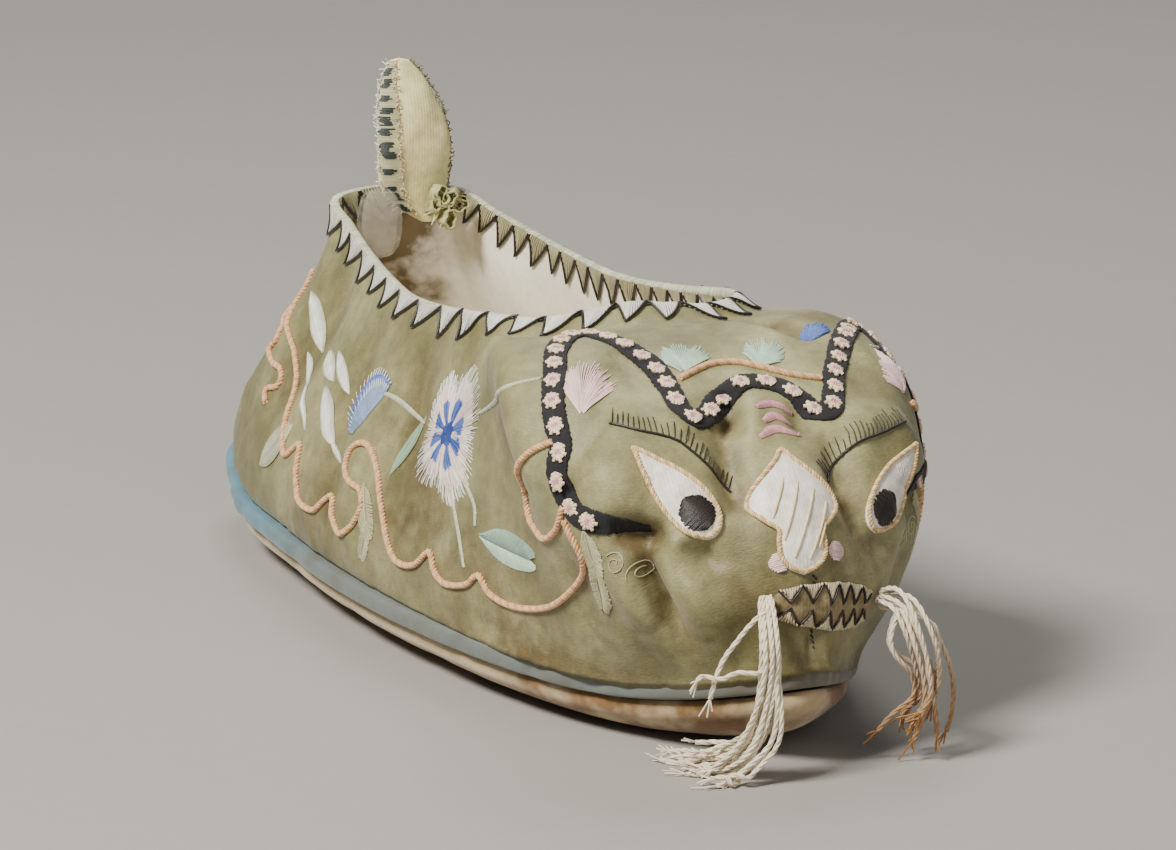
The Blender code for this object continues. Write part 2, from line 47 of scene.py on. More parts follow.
import bpy
import numpy as np
from mathutils import Matrix, Vector
from numpy.random import default_rng

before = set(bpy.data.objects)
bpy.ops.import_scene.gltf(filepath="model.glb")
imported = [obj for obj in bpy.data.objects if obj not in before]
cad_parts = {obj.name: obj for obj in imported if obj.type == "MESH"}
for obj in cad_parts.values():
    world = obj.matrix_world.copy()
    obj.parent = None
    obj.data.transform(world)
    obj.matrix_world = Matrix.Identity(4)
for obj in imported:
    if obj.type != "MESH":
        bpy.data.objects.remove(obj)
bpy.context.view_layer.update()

MM = 0.001
TURN = 2.0 * math.pi

# The last, as the frame has it: the blue piping stands PIPING past the sole's outline all round
PIPING = 1.0
HEEL_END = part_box("midsole")[0].x / MM + PIPING
SOLE_LENGTH = (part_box("midsole")[1].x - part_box("midsole")[0].x) / MM - 2.0 * PIPING
BALL_WIDTH = 50.0
COLLAR_WIDTH = 28.5
HEEL_HEIGHT = 42.2
INSTEP_HEIGHT = 41.0
SIDE_HEIGHT = 37.4
WALL = 2.0
GAP = 0.3
OUTSOLE_TOP = 4.7
MIDSOLE_TOP = 7.2
TOE_SPRING = 4.5
TOE_SPRING_START = 112.0
HEEL_LIFT = 3.9
HEEL_LIFT_START = 34.0

# At the rim the folded silk is thinner than the frame's wall
RIM_WALL = 0.7

# Sections of the upper, as the frame has them. Places along are shares of SOLE_LENGTH, foot_out of half
# BALL_WIDTH and collar_out of half COLLAR_WIDTH. The wall bulges towards lean (degrees from +X).
Section = namedtuple(
    "Section", "station foot_along foot_out collar_along collar_out lean low_out low_rise high_out high_rise")
SECTIONS = tuple(Section(*row) for row in (
    (0.0, 1.0, 0.0, 0.699, 0.0, 0, 5.0, 12.0, 25.0, 4.5),
    (0.08, 0.967, 0.2, 0.695, 0.41, 36, 9.0, 13.0, 27.5, 5.0),
    (0.17, 0.912, 0.42, 0.676, 0.82, 56, 13.5, 13.0, 22.5, 5.5),
    (0.28, 0.809, 0.71, 0.625, 1.0, 68, 5.5, 12.0, 8.0, -0.5),
    (0.42, 0.654, 0.92, 0.529, 1.0, 80, 2.0, 12.0, 2.5, -4.0),
    (0.56, 0.485, 1.0, 0.419, 0.94, 90, 2.0, 12.0, 2.0, -6.0),
    (0.7, 0.324, 0.97, 0.324, 0.84, 100, 1.5, 12.0, 1.0, -8.0),
    (0.83, 0.169, 0.87, 0.225, 0.7, 118, 1.0, 11.0, 0.0, -9.0),
    (0.93, 0.048, 0.56, 0.155, 0.53, 145, 0.5, 10.0, -1.0, -10.0),
    (1.0, 0.0, 0.0, 0.14, 0.0, 180, 0.0, 10.0, -1.0, -10.0),
))

# Folds of the padded silk: the route of each, its width and its depth, below 0 for a ridge
Crease = namedtuple("Crease", "route width depth")
CREASES = tuple(Crease(*row) for row in (
    # The dimple at the ribbon's end, the cheek above it and the folds that run down from it
    (((-0.14, 0.35), (-0.122, 0.349), (-0.106, 0.347), (-0.094, 0.351)), 1.5, 3.0),
    (((-0.14, 0.47), (-0.116, 0.445), (-0.094, 0.425)), 4.0, -1.9),
    (((-0.15, 0.46), (-0.152, 0.42), (-0.146, 0.38)), 1.8, 1.2),
    (((-0.104, 0.318), (-0.088, 0.328), (-0.072, 0.326)), 1.7, -1.2),
    (((-0.092, 0.312), (-0.098, 0.255), (-0.101, 0.19), (-0.096, 0.12)), 2.2, -1.8),
    (((-0.116, 0.334), (-0.132, 0.266), (-0.137, 0.19), (-0.14, 0.09)), 1.4, 2.4),
    (((-0.122, 0.322), (-0.134, 0.262), (-0.139, 0.19), (-0.141, 0.11)), 0.8, 1.3),
    (((-0.153, 0.3), (-0.155, 0.235), (-0.16, 0.14)), 2.1, -1.4),
    (((-0.196, 0.33), (-0.206, 0.24), (-0.226, 0.12)), 2.6, 0.9),
    (((-0.081, 0.334), (-0.083, 0.298), (-0.086, 0.25)), 1.8, 1.5),
    # Pulled by the near whisker
    (((-0.052, 0.205), (-0.066, 0.13), (-0.08, 0.06)), 2.2, 0.7),
    (((-0.05, 0.1), (0.0, 0.085), (0.06, 0.09)), 2.2, 0.8),
    # Beside the nose, under the eyes and on the brow
    (((-0.034, 0.58), (-0.03, 0.53), (-0.036, 0.45), (-0.044, 0.36)), 1.8, 2.0),
    (((0.044, 0.53), (0.041, 0.46), (0.046, 0.38), (0.058, 0.3)), 2.0, 1.9),
    (((-0.01, 0.648), (-0.017, 0.597), (-0.024, 0.545)), 1.4, 2.0),
    (((0.001, 0.635), (-0.004, 0.588), (-0.009, 0.54)), 1.6, -0.8),
    (((0.03, 0.61), (0.027, 0.57), (0.024, 0.53)), 1.5, 1.4),
    (((-0.09, 0.328), (-0.066, 0.298), (-0.044, 0.274)), 2.4, 0.5),
    (((0.098, 0.31), (0.075, 0.28), (0.05, 0.265)), 2.2, 0.9),
    (((-0.094, 0.6), (-0.068, 0.575), (-0.048, 0.54)), 2.6, -1.0),
    (((0.108, 0.535), (0.07, 0.528), (0.044, 0.49)), 2.8, -0.9),
    (((0.002, 0.52), (0.0, 0.38), (-0.004, 0.24)), 4.5, -0.9),
    (((-0.112, 0.7), (-0.098, 0.69), (-0.082, 0.68)), 5.0, -0.9),
    (((0.145, 0.65), (0.125, 0.65), (0.105, 0.64)), 5.0, -0.8),
    # The seam of the toe and the puckered throat
    (((0.003, 0.24), (0.002, 0.12), (0.0, 0.0)), 1.3, 0.8),
    (((0.04, 0.9), (0.05, 0.82), (0.052, 0.74)), 2.8, -0.9),
    (((0.078, 0.92), (0.07, 0.84), (0.078, 0.76)), 2.2, 2.0),
    (((-0.07, 0.8), (-0.058, 0.74), (-0.052, 0.66)), 2.6, 0.8),
    # The far cheek
    (((0.165, 0.375), (0.142, 0.352), (0.112, 0.345)), 2.0, 1.8),
    (((0.15, 0.31), (0.14, 0.22), (0.145, 0.13)), 2.4, 1.1),
    (((0.138, 0.48), (0.11, 0.44), (0.095, 0.415)), 5.0, -1.0),
    # The flanks and the heel
    (((-0.25, 0.7), (-0.232, 0.54), (-0.245, 0.36)), 4.5, 1.2),
    (((-0.195, 0.64), (-0.19, 0.54), (-0.205, 0.43)), 4.0, -0.8),
    (((0.26, 0.7), (0.245, 0.53), (0.27, 0.34)), 5.0, 1.0),
    (((-0.465, 0.82), (-0.455, 0.6), (-0.47, 0.38)), 4.5, 0.8),
    (((-0.6, 0.85), (-0.6, 0.55), (-0.58, 0.26)), 5.0, 0.9),
    (((-0.79, 0.88), (-0.762, 0.58), (-0.78, 0.28)), 4.5, 1.1),
    (((-0.86, 0.85), (-0.85, 0.55), (-0.88, 0.3)), 3.5, -0.8),
    (((0.6, 0.86), (0.57, 0.5), (0.61, 0.22)), 6.0, 0.8),
    (((0.8, 0.88), (0.78, 0.5), (0.81, 0.25)), 5.0, 1.0),
    (((0.95, 0.8), (0.97, 0.45), (0.94, 0.2)), 3.5, 0.8),
))

# The collar's front edge stands up: how far it rises, and how deep the silk lies below it, by station
Lip = namedtuple("Lip", "station rise hollow")
LIPS = tuple(Lip(*row) for row in (
    (-0.46, 0.0, 0.0), (-0.36, 0.0, 0.6), (-0.26, 0.0, 1.9), (-0.16, 0.1, 2.5), (-0.09, 0.9, 1.7),
    (-0.03, 1.6, 1.0), (0.03, 1.1, 1.3), (0.1, 0.3, 2.0), (0.18, 0.3, 2.4), (0.26, 0.3, 1.7),
    (0.38, 0.0, 0.4), (0.5, 0.0, 0.0),
))

# Edges of the collar's hand-sewn teeth from the throat to the heel
TOOTH_EDGES = (
    0.0, 0.05, 0.1, 0.155, 0.215, 0.285, 0.36, 0.435, 0.505, 0.57, 0.63, 0.69, 0.745, 0.8, 0.85, 0.9, 0.95,
    1.0,
)

# Teeth of the plainer round inside, and in each row of the mouth
INSIDE_TEETH = 56
MOUTH_TEETH = 6

# The outsole's edge from its tread to its top: inset from the outline, and height
SOLE_EDGE = ((9.0, 0.0), (4.5, 0.9), (1.6, 2.3), (0.7, 3.2), (0.55, 4.0), (0.9, 4.7))

# Worn and stained patches of the silk, and in the last two patches painted shade in the hollow of the vamp
# below the throat: place, reach in millimetres and strength
DarkPatch = namedtuple("DarkPatch", "station height reach strength")
STAINS_AND_SHADE = tuple(DarkPatch(*row) for row in (
    (-0.45, 0.28, 7.0, 0.9), (-0.37, 0.22, 8.0, 0.8), (-0.48, 0.58, 6.0, 0.6), (-0.3, 0.09, 9.0, 0.8),
    (-0.62, 0.09, 10.0, 0.8), (-0.2, 0.14, 6.0, 0.7), (-0.13, 0.34, 4.0, 0.9), (0.02, 0.2, 7.0, 0.7),
    (-0.06, 0.22, 5.0, 0.6), (-0.52, 0.82, 5.0, 0.5), (0.05, 0.06, 8.0, 0.6), (-0.8, 0.45, 6.0, 0.5),
    (0.4, 0.24, 9.0, 0.9), (0.55, 0.13, 9.0, 0.7), (0.28, 0.11, 8.0, 0.7), (0.9, 0.18, 9.0, 0.7),
    (0.75, 0.48, 8.0, 0.5), (-0.92, 0.2, 8.0, 0.7), (-0.19, 0.58, 6.0, 0.5), (-0.44, 0.38, 6.0, 0.7),
    # Painted shade, not stains: the hollow of the vamp below the throat
    (-0.03, 0.86, 7.0, 0.5), (0.07, 0.86, 7.0, 0.5),
))

# The ribbon's route from the near cheek, over both ears to the far cheek, as the frame has it
RIBBON_ROUTE = (
    (-0.11, 0.357), (-0.148, 0.373), (-0.164, 0.4), (-0.157, 0.47), (-0.141, 0.525), (-0.135, 0.577),
    (-0.127, 0.64), (-0.117, 0.713), (-0.11, 0.79), (-0.099, 0.865), (-0.085, 0.895), (-0.065, 0.853),
    (-0.053, 0.8), (-0.045, 0.745), (-0.044, 0.68), (-0.045, 0.62), (-0.04, 0.588), (-0.03, 0.604),
    (-0.018, 0.637), (0.004, 0.668), (0.022, 0.653), (0.032, 0.62), (0.038, 0.585), (0.047, 0.574),
    (0.057, 0.617), (0.068, 0.667), (0.095, 0.723), (0.13, 0.75), (0.155, 0.748), (0.168, 0.71),
    (0.166, 0.64), (0.168, 0.57), (0.176, 0.5), (0.178, 0.43), (0.165, 0.395), (0.13, 0.372),
)
RIBBON_WIDTH = 2.5
RIBBON_THICK = 0.6

# Its section: places across in widths, and lifts in thicknesses
RIBBON_PROFILE = (
    (-0.48, -0.2), (-0.5, 0.3), (-0.44, 0.48), (-0.22, 0.56), (0.0, 0.58), (0.22, 0.56), (0.44, 0.48),
    (0.5, 0.3), (0.48, -0.2),
)

# Face patches, as the frame has them: the tip and the foot of each eye, the nose, the mouth and the whiskers
EYES = {"eye_right": ((-0.087, 0.53), (-0.062, 0.34)), "eye_left": ((0.115, 0.465), (0.068, 0.315))}
EYE_LENGTH = 13.0
EYE_WIDTH = 6.6
NOSE = ((0.003, 0.512), (-0.008, 0.24))
NOSE_LENGTH = 14.2
NoseRow = namedtuple("NoseRow", "along half_width")
NOSE_OUTLINE = tuple(NoseRow(*row) for row in (
    (0.04, 0.1), (0.12, 0.17), (0.24, 0.18), (0.32, 0.17), (0.4, 0.26), (0.53, 0.36), (0.66, 0.32),
    (0.8, 0.18), (0.91, 0.07),
))
MOUTH_PLACE = (0.03, 0.152)
MOUTH_LENGTH = 13.0
MOUTH_WIDTH = 5.0
RIGHT_WHISKER = (-0.047, 0.197)
LEFT_WHISKER = (0.098, 0.16)

# Couched scroll cord of one flank, from the heel to the cheek, and the loop that ends at the ribbon
SCROLL_ROUTE = (
    (1.0, 0.44), (0.985, 0.51), (0.965, 0.52), (0.955, 0.46), (0.938, 0.47), (0.93, 0.59), (0.918, 0.69),
    (0.905, 0.69), (0.889, 0.59), (0.848, 0.544), (0.797, 0.504), (0.748, 0.4), (0.716, 0.27),
    (0.702, 0.24), (0.685, 0.285), (0.673, 0.297), (0.662, 0.193), (0.65, 0.15), (0.613, 0.143),
    (0.587, 0.217), (0.575, 0.163), (0.558, 0.123), (0.538, 0.163), (0.523, 0.237), (0.528, 0.283),
    (0.548, 0.293), (0.562, 0.333), (0.553, 0.4), (0.528, 0.417), (0.505, 0.363), (0.492, 0.263),
    (0.478, 0.163), (0.465, 0.127), (0.442, 0.14), (0.418, 0.197), (0.412, 0.147), (0.397, 0.127),
    (0.37, 0.147), (0.35, 0.187), (0.338, 0.147), (0.308, 0.137), (0.263, 0.167), (0.217, 0.23),
    (0.185, 0.29), (0.177, 0.373),
)
LOOP_ROUTE = (
    (0.171, 0.4), (0.191, 0.358), (0.222, 0.333), (0.241, 0.37), (0.235, 0.42), (0.206, 0.47),
    (0.172, 0.512), (0.146, 0.535),
)
HEEL_ROUTE = (
    (0.915, 0.59), (0.894, 0.53), (0.873, 0.522), (0.855, 0.482), (0.863, 0.448), (0.836, 0.43),
    (0.812, 0.44), (0.8, 0.4), (0.816, 0.36), (0.803, 0.328),
)
CROWN_ROUTE = ((-0.035, 0.693), (-0.012, 0.723), (0.007, 0.723), (0.02, 0.703), (0.035, 0.673), (0.053, 0.65))
BROWS = (
    ((-0.093, 0.577), (-0.077, 0.557), (-0.058, 0.537), (-0.047, 0.493), (-0.037, 0.443)),
    ((0.105, 0.503), (0.078, 0.497), (0.057, 0.49), (0.042, 0.47), (0.035, 0.433)),
)

# Spindles of long satin stitches: foot, tip, width in millimetres and colour, white if none is given
Leaf = namedtuple("Leaf", "foot tip width colour", defaults=("floss_white",))
FLANK_LEAVES = tuple(Leaf(*row) for row in (
    ((0.849, 0.69), (0.752, 0.58), 2.6), ((0.783, 0.544), (0.73, 0.47), 1.2),
    ((0.738, 0.48), (0.679, 0.348), 0.9), ((0.725, 0.6), (0.664, 0.535), 2.2),
    ((0.69, 0.625), (0.618, 0.53), 1.6), ((0.676, 0.505), (0.602, 0.36), 2.6),
    ((0.612, 0.372), (0.581, 0.325), 0.7), ((0.712, 0.335), (0.756, 0.155), 4.2, "floss_sage"),
    ((0.44, 0.555), (0.487, 0.36), 2.0, "floss_leaf"),
))
FEATHERS = tuple(Leaf(*row, "floss_straw") for row in (
    ((0.524, 0.3), (0.51, 0.15), 3.6), ((0.512, 0.2), (0.523, 0.08), 2.6),
    ((0.163, 0.352), (0.178, 0.255), 3.0), ((0.172, 0.29), (0.198, 0.18), 3.4),
))
MINT_LEAF = Leaf((0.335, 0.294), (0.26, 0.274), 3.9, "floss_mint")
STEMS = (
    ((0.44, 0.535), (0.463, 0.553), (0.498, 0.583), (0.537, 0.587)),
    ((0.3, 0.595), (0.262, 0.618), (0.212, 0.64), (0.17, 0.662), (0.132, 0.688)),
    ((0.38, 0.4), (0.373, 0.302), (0.37, 0.195)), ((0.352, 0.42), (0.339, 0.367), (0.343, 0.315)),
)
FLOWER_PLACE = (0.378, 0.524)
Petal = namedtuple("Petal", "aim reach half")
PETALS = (Petal(141, 6.3, 47), Petal(40, 7.2, 48), Petal(-38, 7.0, 48), Petal(-141, 6.0, 47))
BUD_PLACE = (0.56, 0.535)

# Fans of straight stitches: the root, places on the far edge, and colour
Fan = namedtuple("Fan", "root edge colour")
FANS = tuple(Fan(*row) for row in (
    ((-0.11, 0.597), ((-0.116, 0.655), (-0.104, 0.715), (-0.09, 0.74), (-0.078, 0.725), (-0.074, 0.675)),
     "floss_pink"),
    ((0.135, 0.56), ((0.15, 0.6), (0.144, 0.65), (0.13, 0.67), (0.117, 0.65), (0.11, 0.605)), "floss_pink"),
    ((-0.03, 0.712), ((-0.041, 0.755), (-0.031, 0.795), (-0.018, 0.8), (-0.006, 0.78), (-0.006, 0.748)),
     "floss_mint"),
    ((0.02, 0.705), ((0.018, 0.75), (0.028, 0.78), (0.038, 0.778), (0.045, 0.745), (0.038, 0.712)),
     "floss_mint"),
    ((0.07, 0.765), ((0.083, 0.805), (0.098, 0.808), (0.108, 0.788), (0.1, 0.762)), "floss_blue"),
))
CURLS = ((0.151, 0.29), (0.138, 0.266))

# The tail tab from its root to its tip, the gauze loop and the knot, as the frame has them
TabRow = namedtuple("TabRow", "height half_width half_thick along across")
TAB_ROWS = tuple(TabRow(*row) for row in (
    (38.6, 1.3, 0.6, 25.2, 3.2), (40.4, 2.9, 1.0, 24.9, 2.0), (42.3, 4.0, 1.3, 24.8, 1.4),
    (44.4, 4.5, 1.5, 24.9, 1.2), (47.7, 4.7, 1.8, 25.2, 1.0), (51.2, 4.5, 1.8, 25.1, 0.7),
    (54.2, 3.8, 1.6, 24.7, 0.3), (56.7, 2.7, 1.2, 24.3, -0.1), (58.5, 1.3, 0.7, 23.9, -0.4),
))
GAUZE_TURNS = (
    (28.0, 39.9), (27.6, 42.5), (26.9, 43.3), (26.3, 42.3), (26.1, 39.9), (26.1, 37.1), (26.9, 35.1),
    (27.7, 36.9),
)
GAUZE_ACROSS = -4.3
GAUZE_WIDTH = 5.2
GAUZE_THICK = 0.35
KNOT_CENTRE = (27.5, 4.0, 40.9)

# Loops of the knot: the way each points in radians, its reach and its tilt
KNOT_LOOPS = (
    (0.1, 2.8, 0.9), (0.9, 2.6, -0.7), (1.7, 2.8, 0.2), (2.6, 2.4, 1.3), (3.6, 2.2, -0.5), (4.6, 2.4, 0.4),
)

# Locks of the whiskers, as the frame has them: yarns in each, how far they spread, and the lock's route
Lock = namedtuple("Lock", "yarns spread points")
RIGHT_LOCKS = (
    Lock(13, 1.45, ((138.0, -6.0, 15.7), (138.0, -6.0, 12.0), (137.3, -6.3, 8.0), (136.0, -7.0, 4.6),
                    (133.4, -8.6, 2.0), (131.7, -10.5, 1.5), (130.5, -12.7, 1.4))),
    Lock(3, 0.6, ((138.2, -5.6, 13.0), (138.6, -5.4, 8.5), (138.0, -5.8, 4.5), (136.8, -8.6, 1.5),
                  (136.5, -10.4, 1.0), (134.5, -12.5, 0.9))),
    Lock(3, 0.6, ((136.0, -7.2, 4.8), (131.0, -9.2, 1.8), (127.5, -11.4, 1.1), (125.0, -12.6, 0.9))),
    Lock(1, 0.0, ((136.6, -6.0, 18.6), (135.5, -9.2, 14.7), (135.5, -10.7, 11.5), (135.5, -11.1, 8.8))),
    Lock(1, 0.0, ((137.8, -6.4, 12.6), (136.5, -11.9, 11.8), (136.2, -13.8, 11.6), (136.0, -14.7, 10.2))),
)
LEFT_LOCKS = (
    Lock(6, 2.7, ((134.8, 11.2, 16.6), (136.2, 12.2, 14.4), (136.6, 13.3, 11.4), (136.6, 13.9, 8.4),
                  (136.2, 13.4, 5.6), (136.0, 12.0, 3.6))),
    Lock(2, 1.3, ((135.0, 11.4, 16.4), (136.0, 14.3, 14.5), (136.4, 14.8, 10.7), (136.4, 14.2, 7.4),
                  (136.2, 12.4, 3.4), (135.8, 11.4, 1.8))),
    Lock(2, 1.3, ((134.6, 10.8, 16.2), (135.5, 9.6, 12.7), (136.0, 12.1, 9.8), (136.0, 12.7, 7.0),
                  (135.6, 10.3, 4.8), (135.0, 9.4, 3.0))),
    Lock(2, 0.5, ((134.8, 11.0, 16.4), (137.2, 11.4, 13.0), (137.8, 12.6, 9.0), (137.4, 13.0, 5.0),
                  (136.8, 12.6, 2.0))),
)

# The camera stands where the photographer stood, in millimetres from the heel
CAMERA_PLACE = (597.6, -234.3, 162.5)
CAMERA_AIM = (92.0, -5.9, 28.5)
CAMERA_LENS = 158.0

# Soft studio lamps: place and width in metres, and power in watts
Lamp = namedtuple("Lamp", "name place width power")
LAMPS = (
    Lamp("key", (0.22, -0.56, 0.68), 0.24, 16.0),
    Lamp("fill", (0.85, 0.15, 0.4), 0.7, 2.2),
    Lamp("back", (-0.45, 0.2, 0.75), 0.4, 3.6),
)
SKY_STRENGTH = 0.2
FLOOR_REACH = 3.0

# Spacing of satin stitches, and the radius of a single hair of floss
STITCH_STEP = 0.17
HAIR = 0.055


def linear(code):
    """Linear RGBA of an sRGB hex colour."""
    shares = [int(code[i:i + 2], 16) / 255.0 for i in (1, 3, 5)]
    return tuple(s / 12.92 if s <= 0.04045 else ((s + 0.055) / 1.055) ** 2.4 for s in shares) + (1.0,)


def repeats(millimetres):
    """How often a pattern of this size repeats in a metre."""
    return 1.0 / (millimetres * MM)


def swatch(name, description, code):
    """Colour property of one finish."""
    return bpy.props.FloatVectorProperty(
        name=name, description=description, subtype="COLOR", size=4, min=0.0, max=1.0, default=linear(code))


def length(name, description, millimetres):
    """Length property, shown in the scene's units."""
    return bpy.props.FloatProperty(
        name=name, description=description, unit="LENGTH", precision=5, min=0.0, default=millimetres * MM)


class ShoeSizes(bpy.types.PropertyGroup):
    """Sizes of the threads, cords and repeats"""
    floss_width: length("Floss width", "Width of one satin stitch", 0.28)
    outline_width: length("Outline width", "Width of the black couched thread", 0.32)
    cord_width: length("Cord width", "Width of the couched scroll cord", 0.88)
    cord_lay: length("Cord lay", "Length of one full twist of the cord", 1.4)
    edge_cord_width: length("Edge cord width", "Width of the cord round the eyes and the nose", 0.62)
    yarn_width: length("Yarn width", "Width of one whisker yarn", 0.62)
    yarn_lay: length("Yarn lay", "Length of one full twist of the yarn", 3.4)
    tooth_depth: length("Tooth depth", "Depth of the satin teeth below the collar", 4.0)
    flower_step: length("Flower step", "Spacing of the flowers on the ribbon", 2.95)


class ShoeColours(bpy.types.PropertyGroup):
    """Colours of the silks, threads and cloths"""
    silk: swatch("Silk", "Olive green silk of the upper", "#6F6C43")
    silk_worn: swatch("Worn silk", "Where the silk has faded", "#99956B")
    # The soil colour also serves as the painted shade in the troughs of the silk's folds and in the hollow of
    # the vamp
    soil_and_shade: swatch("Soil", "Stains on silk and cotton", "#574726")
    lining: swatch("Lining", "Cream cotton inside", "#FFF8E6")
    # The lining's stain colour also serves as the painted shade inside the heel
    lining_stain_and_shade: swatch("Lining soil", "Stains at the heel of the lining", "#5E4E2E")
    blue_silk: swatch("Blue silk", "Faded silk of the sole's edge", "#67726F")
    blue_deep: swatch("Deep blue silk", "Unfaded silk at the heel", "#4F89A0")
    cotton: swatch("Sole cotton", "Cream cloth of the sole", "#CDBB94")
    cotton_soil: swatch("Soiled cotton", "Stained cloth at the toe", "#7C5C34")
    cord: swatch("Cord", "Peach strand of the scroll cord", "#CF9860")
    cord_pale: swatch("Pale cord", "Pale strand of the scroll cord", "#DCB084")
    gold: swatch("Gold thread", "Strand of the cord round eyes and nose", "#D6B074")
    cream: swatch("Cream thread", "Strand of the cord round eyes and nose", "#E6D2A4")
    floss_white: swatch("White floss", "White satin stitches", "#ECEBE1")
    floss_pink: swatch("Pink floss", "Pink satin stitches", "#E6C6C2")
    floss_rose: swatch("Rose floss", "Stripes of the brow and centres of the ribbon's flowers", "#C48C90")
    floss_blue: swatch("Blue floss", "Mid blue stitches", "#5470B8")
    floss_blue_deep: swatch("Deep blue floss", "Deep blue stitches", "#2F478E")
    floss_blue_grey: swatch("Grey blue floss", "Bud stitches", "#8195B4")
    floss_mint: swatch("Mint floss", "Mint leaves", "#AFCBB6")
    floss_sage: swatch("Sage floss", "Pale grey green stitches", "#BFC4A8")
    floss_straw: swatch("Straw floss", "Pale straw leaves and curls", "#B9B48E")
    floss_leaf: swatch("Leaf floss", "Grey green leaf", "#8FAF98")
    floss_black: swatch("Black floss", "Outlines, brows and seams", "#1F1914")
    ribbon: swatch("Ribbon", "Black ground of the woven ribbon", "#050507")
    patch: swatch("Patch silk", "White silk of eyes and nose", "#F7F5EC")
    pupil: swatch("Pupil", "Dark brown of the pupils", "#1B100B")
    yarn: swatch("Yarn", "Cream cotton of the whiskers", "#E8DCC2")
    yarn_soil: swatch("Stained yarn", "Ochre ends of the whiskers", "#94642B")
    tab_silk: swatch("Tab silk", "Pale silk of the tail tab", "#F8EDB2")
    tab_trim: swatch("Tab trim", "Dark squares of the tab's trim", "#26332F")
    gauze: swatch("Gauze", "Grey gauze ribbon", "#B2AB97")
    floor: swatch("Floor", "Pale studio floor", "#989591")


Thread = namedtuple("Thread", "points radius colour")


def ease(x):
    """From 0 to 1, slowly at both ends."""
    x = np.clip(x, 0.0, 1.0)
    return x * x * (3.0 - 2.0 * x)


def sole_rise(along):
    """How far the sole's underside is off the floor: turned up at the toe and at the heel."""
    toe = np.maximum(0.0, (along - TOE_SPRING_START) / (SOLE_LENGTH - TOE_SPRING_START))
    heel = np.maximum(0.0, (HEEL_LIFT_START - along) / HEEL_LIFT_START)
    return TOE_SPRING * toe ** 2 + HEEL_LIFT * heel ** 2


def collar_height(along):
    """The collar is highest at the heel, lowest at the sides and rises again to the throat."""
    throat = max(s.collar_along for s in SECTIONS) * SOLE_LENGTH
    back = min(s.collar_along for s in SECTIONS) * SOLE_LENGTH
    lowest = 0.5 * (throat + back)
    front = ease((along - lowest) / (throat - lowest))
    rear = np.maximum(0.0, (lowest - along) / (lowest - back)) ** 1.5
    return SIDE_HEIGHT + (INSTEP_HEIGHT - SIDE_HEIGHT) * front + (HEEL_HEIGHT - SIDE_HEIGHT) * rear


def wall_at(height):
    """Thickness of the padded wall: it thins towards the rim."""
    return WALL + (RIM_WALL - WALL) * ease((np.asarray(height) - 0.6) / 0.4)


def section_table():
    """The sections all round, in millimetres: the right side mirrored, then the left, wrapped at the heel."""
    left = np.array(SECTIONS, float)
    left[:, 1:5] *= SOLE_LENGTH, BALL_WIDTH / 2, SOLE_LENGTH, COLLAR_WIDTH / 2
    flip = np.ones(left.shape[1])
    flip[[0, 2, 4, 5]] = -1.0
    ring = np.vstack([(left * flip)[::-1], left[1:]])
    turn = np.zeros(left.shape[1])
    turn[[0, 5]] = 2.0, 360.0
    return np.vstack([ring[-3:-1] - turn, ring, ring[1:3] + turn])


TABLE = section_table()
SLOPES = np.gradient(TABLE[:, 1:], TABLE[:, 0], axis=0, edge_order=1)


def section_at(station):
    """The section's values at each station, on a smooth curve through the table."""
    station = (np.asarray(station, float) + 1.0) % 2.0 - 1.0
    i = np.searchsorted(TABLE[:, 0], station, side="right") - 1
    span = (TABLE[i + 1, 0] - TABLE[i, 0])[..., None]
    u = (station - TABLE[i, 0])[..., None] / span
    start, end = TABLE[i, 1:], TABLE[i + 1, 1:]
    bend = u * (1.0 - u) * span * ((1.0 - u) * SLOPES[i] - u * SLOPES[i + 1])
    return start + (end - start) * u * u * (3.0 - 2.0 * u) + bend


def bare_point(station, height):
    """Points of the upper's plain outer face, in millimetres."""
    foot_x, foot_y, collar_x, collar_y, lean, low_out, low_rise, high_out, high_rise = np.moveaxis(
        section_at(station), -1, 0)
    lean = np.radians(lean)
    foot = np.stack([foot_x, foot_y, MIDSOLE_TOP + GAP + sole_rise(foot_x)], -1)
    collar = np.stack([collar_x, collar_y, collar_height(collar_x)], -1)
    low = foot + np.stack([np.cos(lean) * low_out, np.sin(lean) * low_out, low_rise], -1)
    high = collar + np.stack([np.cos(lean) * high_out, np.sin(lean) * high_out, high_rise], -1)
    h = np.asarray(height, float)[..., None]
    k = 1.0 - h
    return k ** 3 * foot + 3 * k * k * h * low + 3 * k * h * h * high + h ** 3 * collar


def frame_at(station, height):
    """Points and outward normals of the plain outer face, and its slopes per unit of station and height."""
    step = 1e-4
    station, height = np.asarray(station, float), np.asarray(height, float)
    along = (bare_point(station + step, height) - bare_point(station - step, height)) / (2 * step)
    up = (bare_point(station, height + step) - bare_point(station, height - step)) / (2 * step)
    return bare_point(station, height), unit(np.cross(along, up)), along, up


def unit(vectors):
    """Vectors of length 1."""
    return vectors / np.linalg.norm(vectors, axis=-1, keepdims=True)


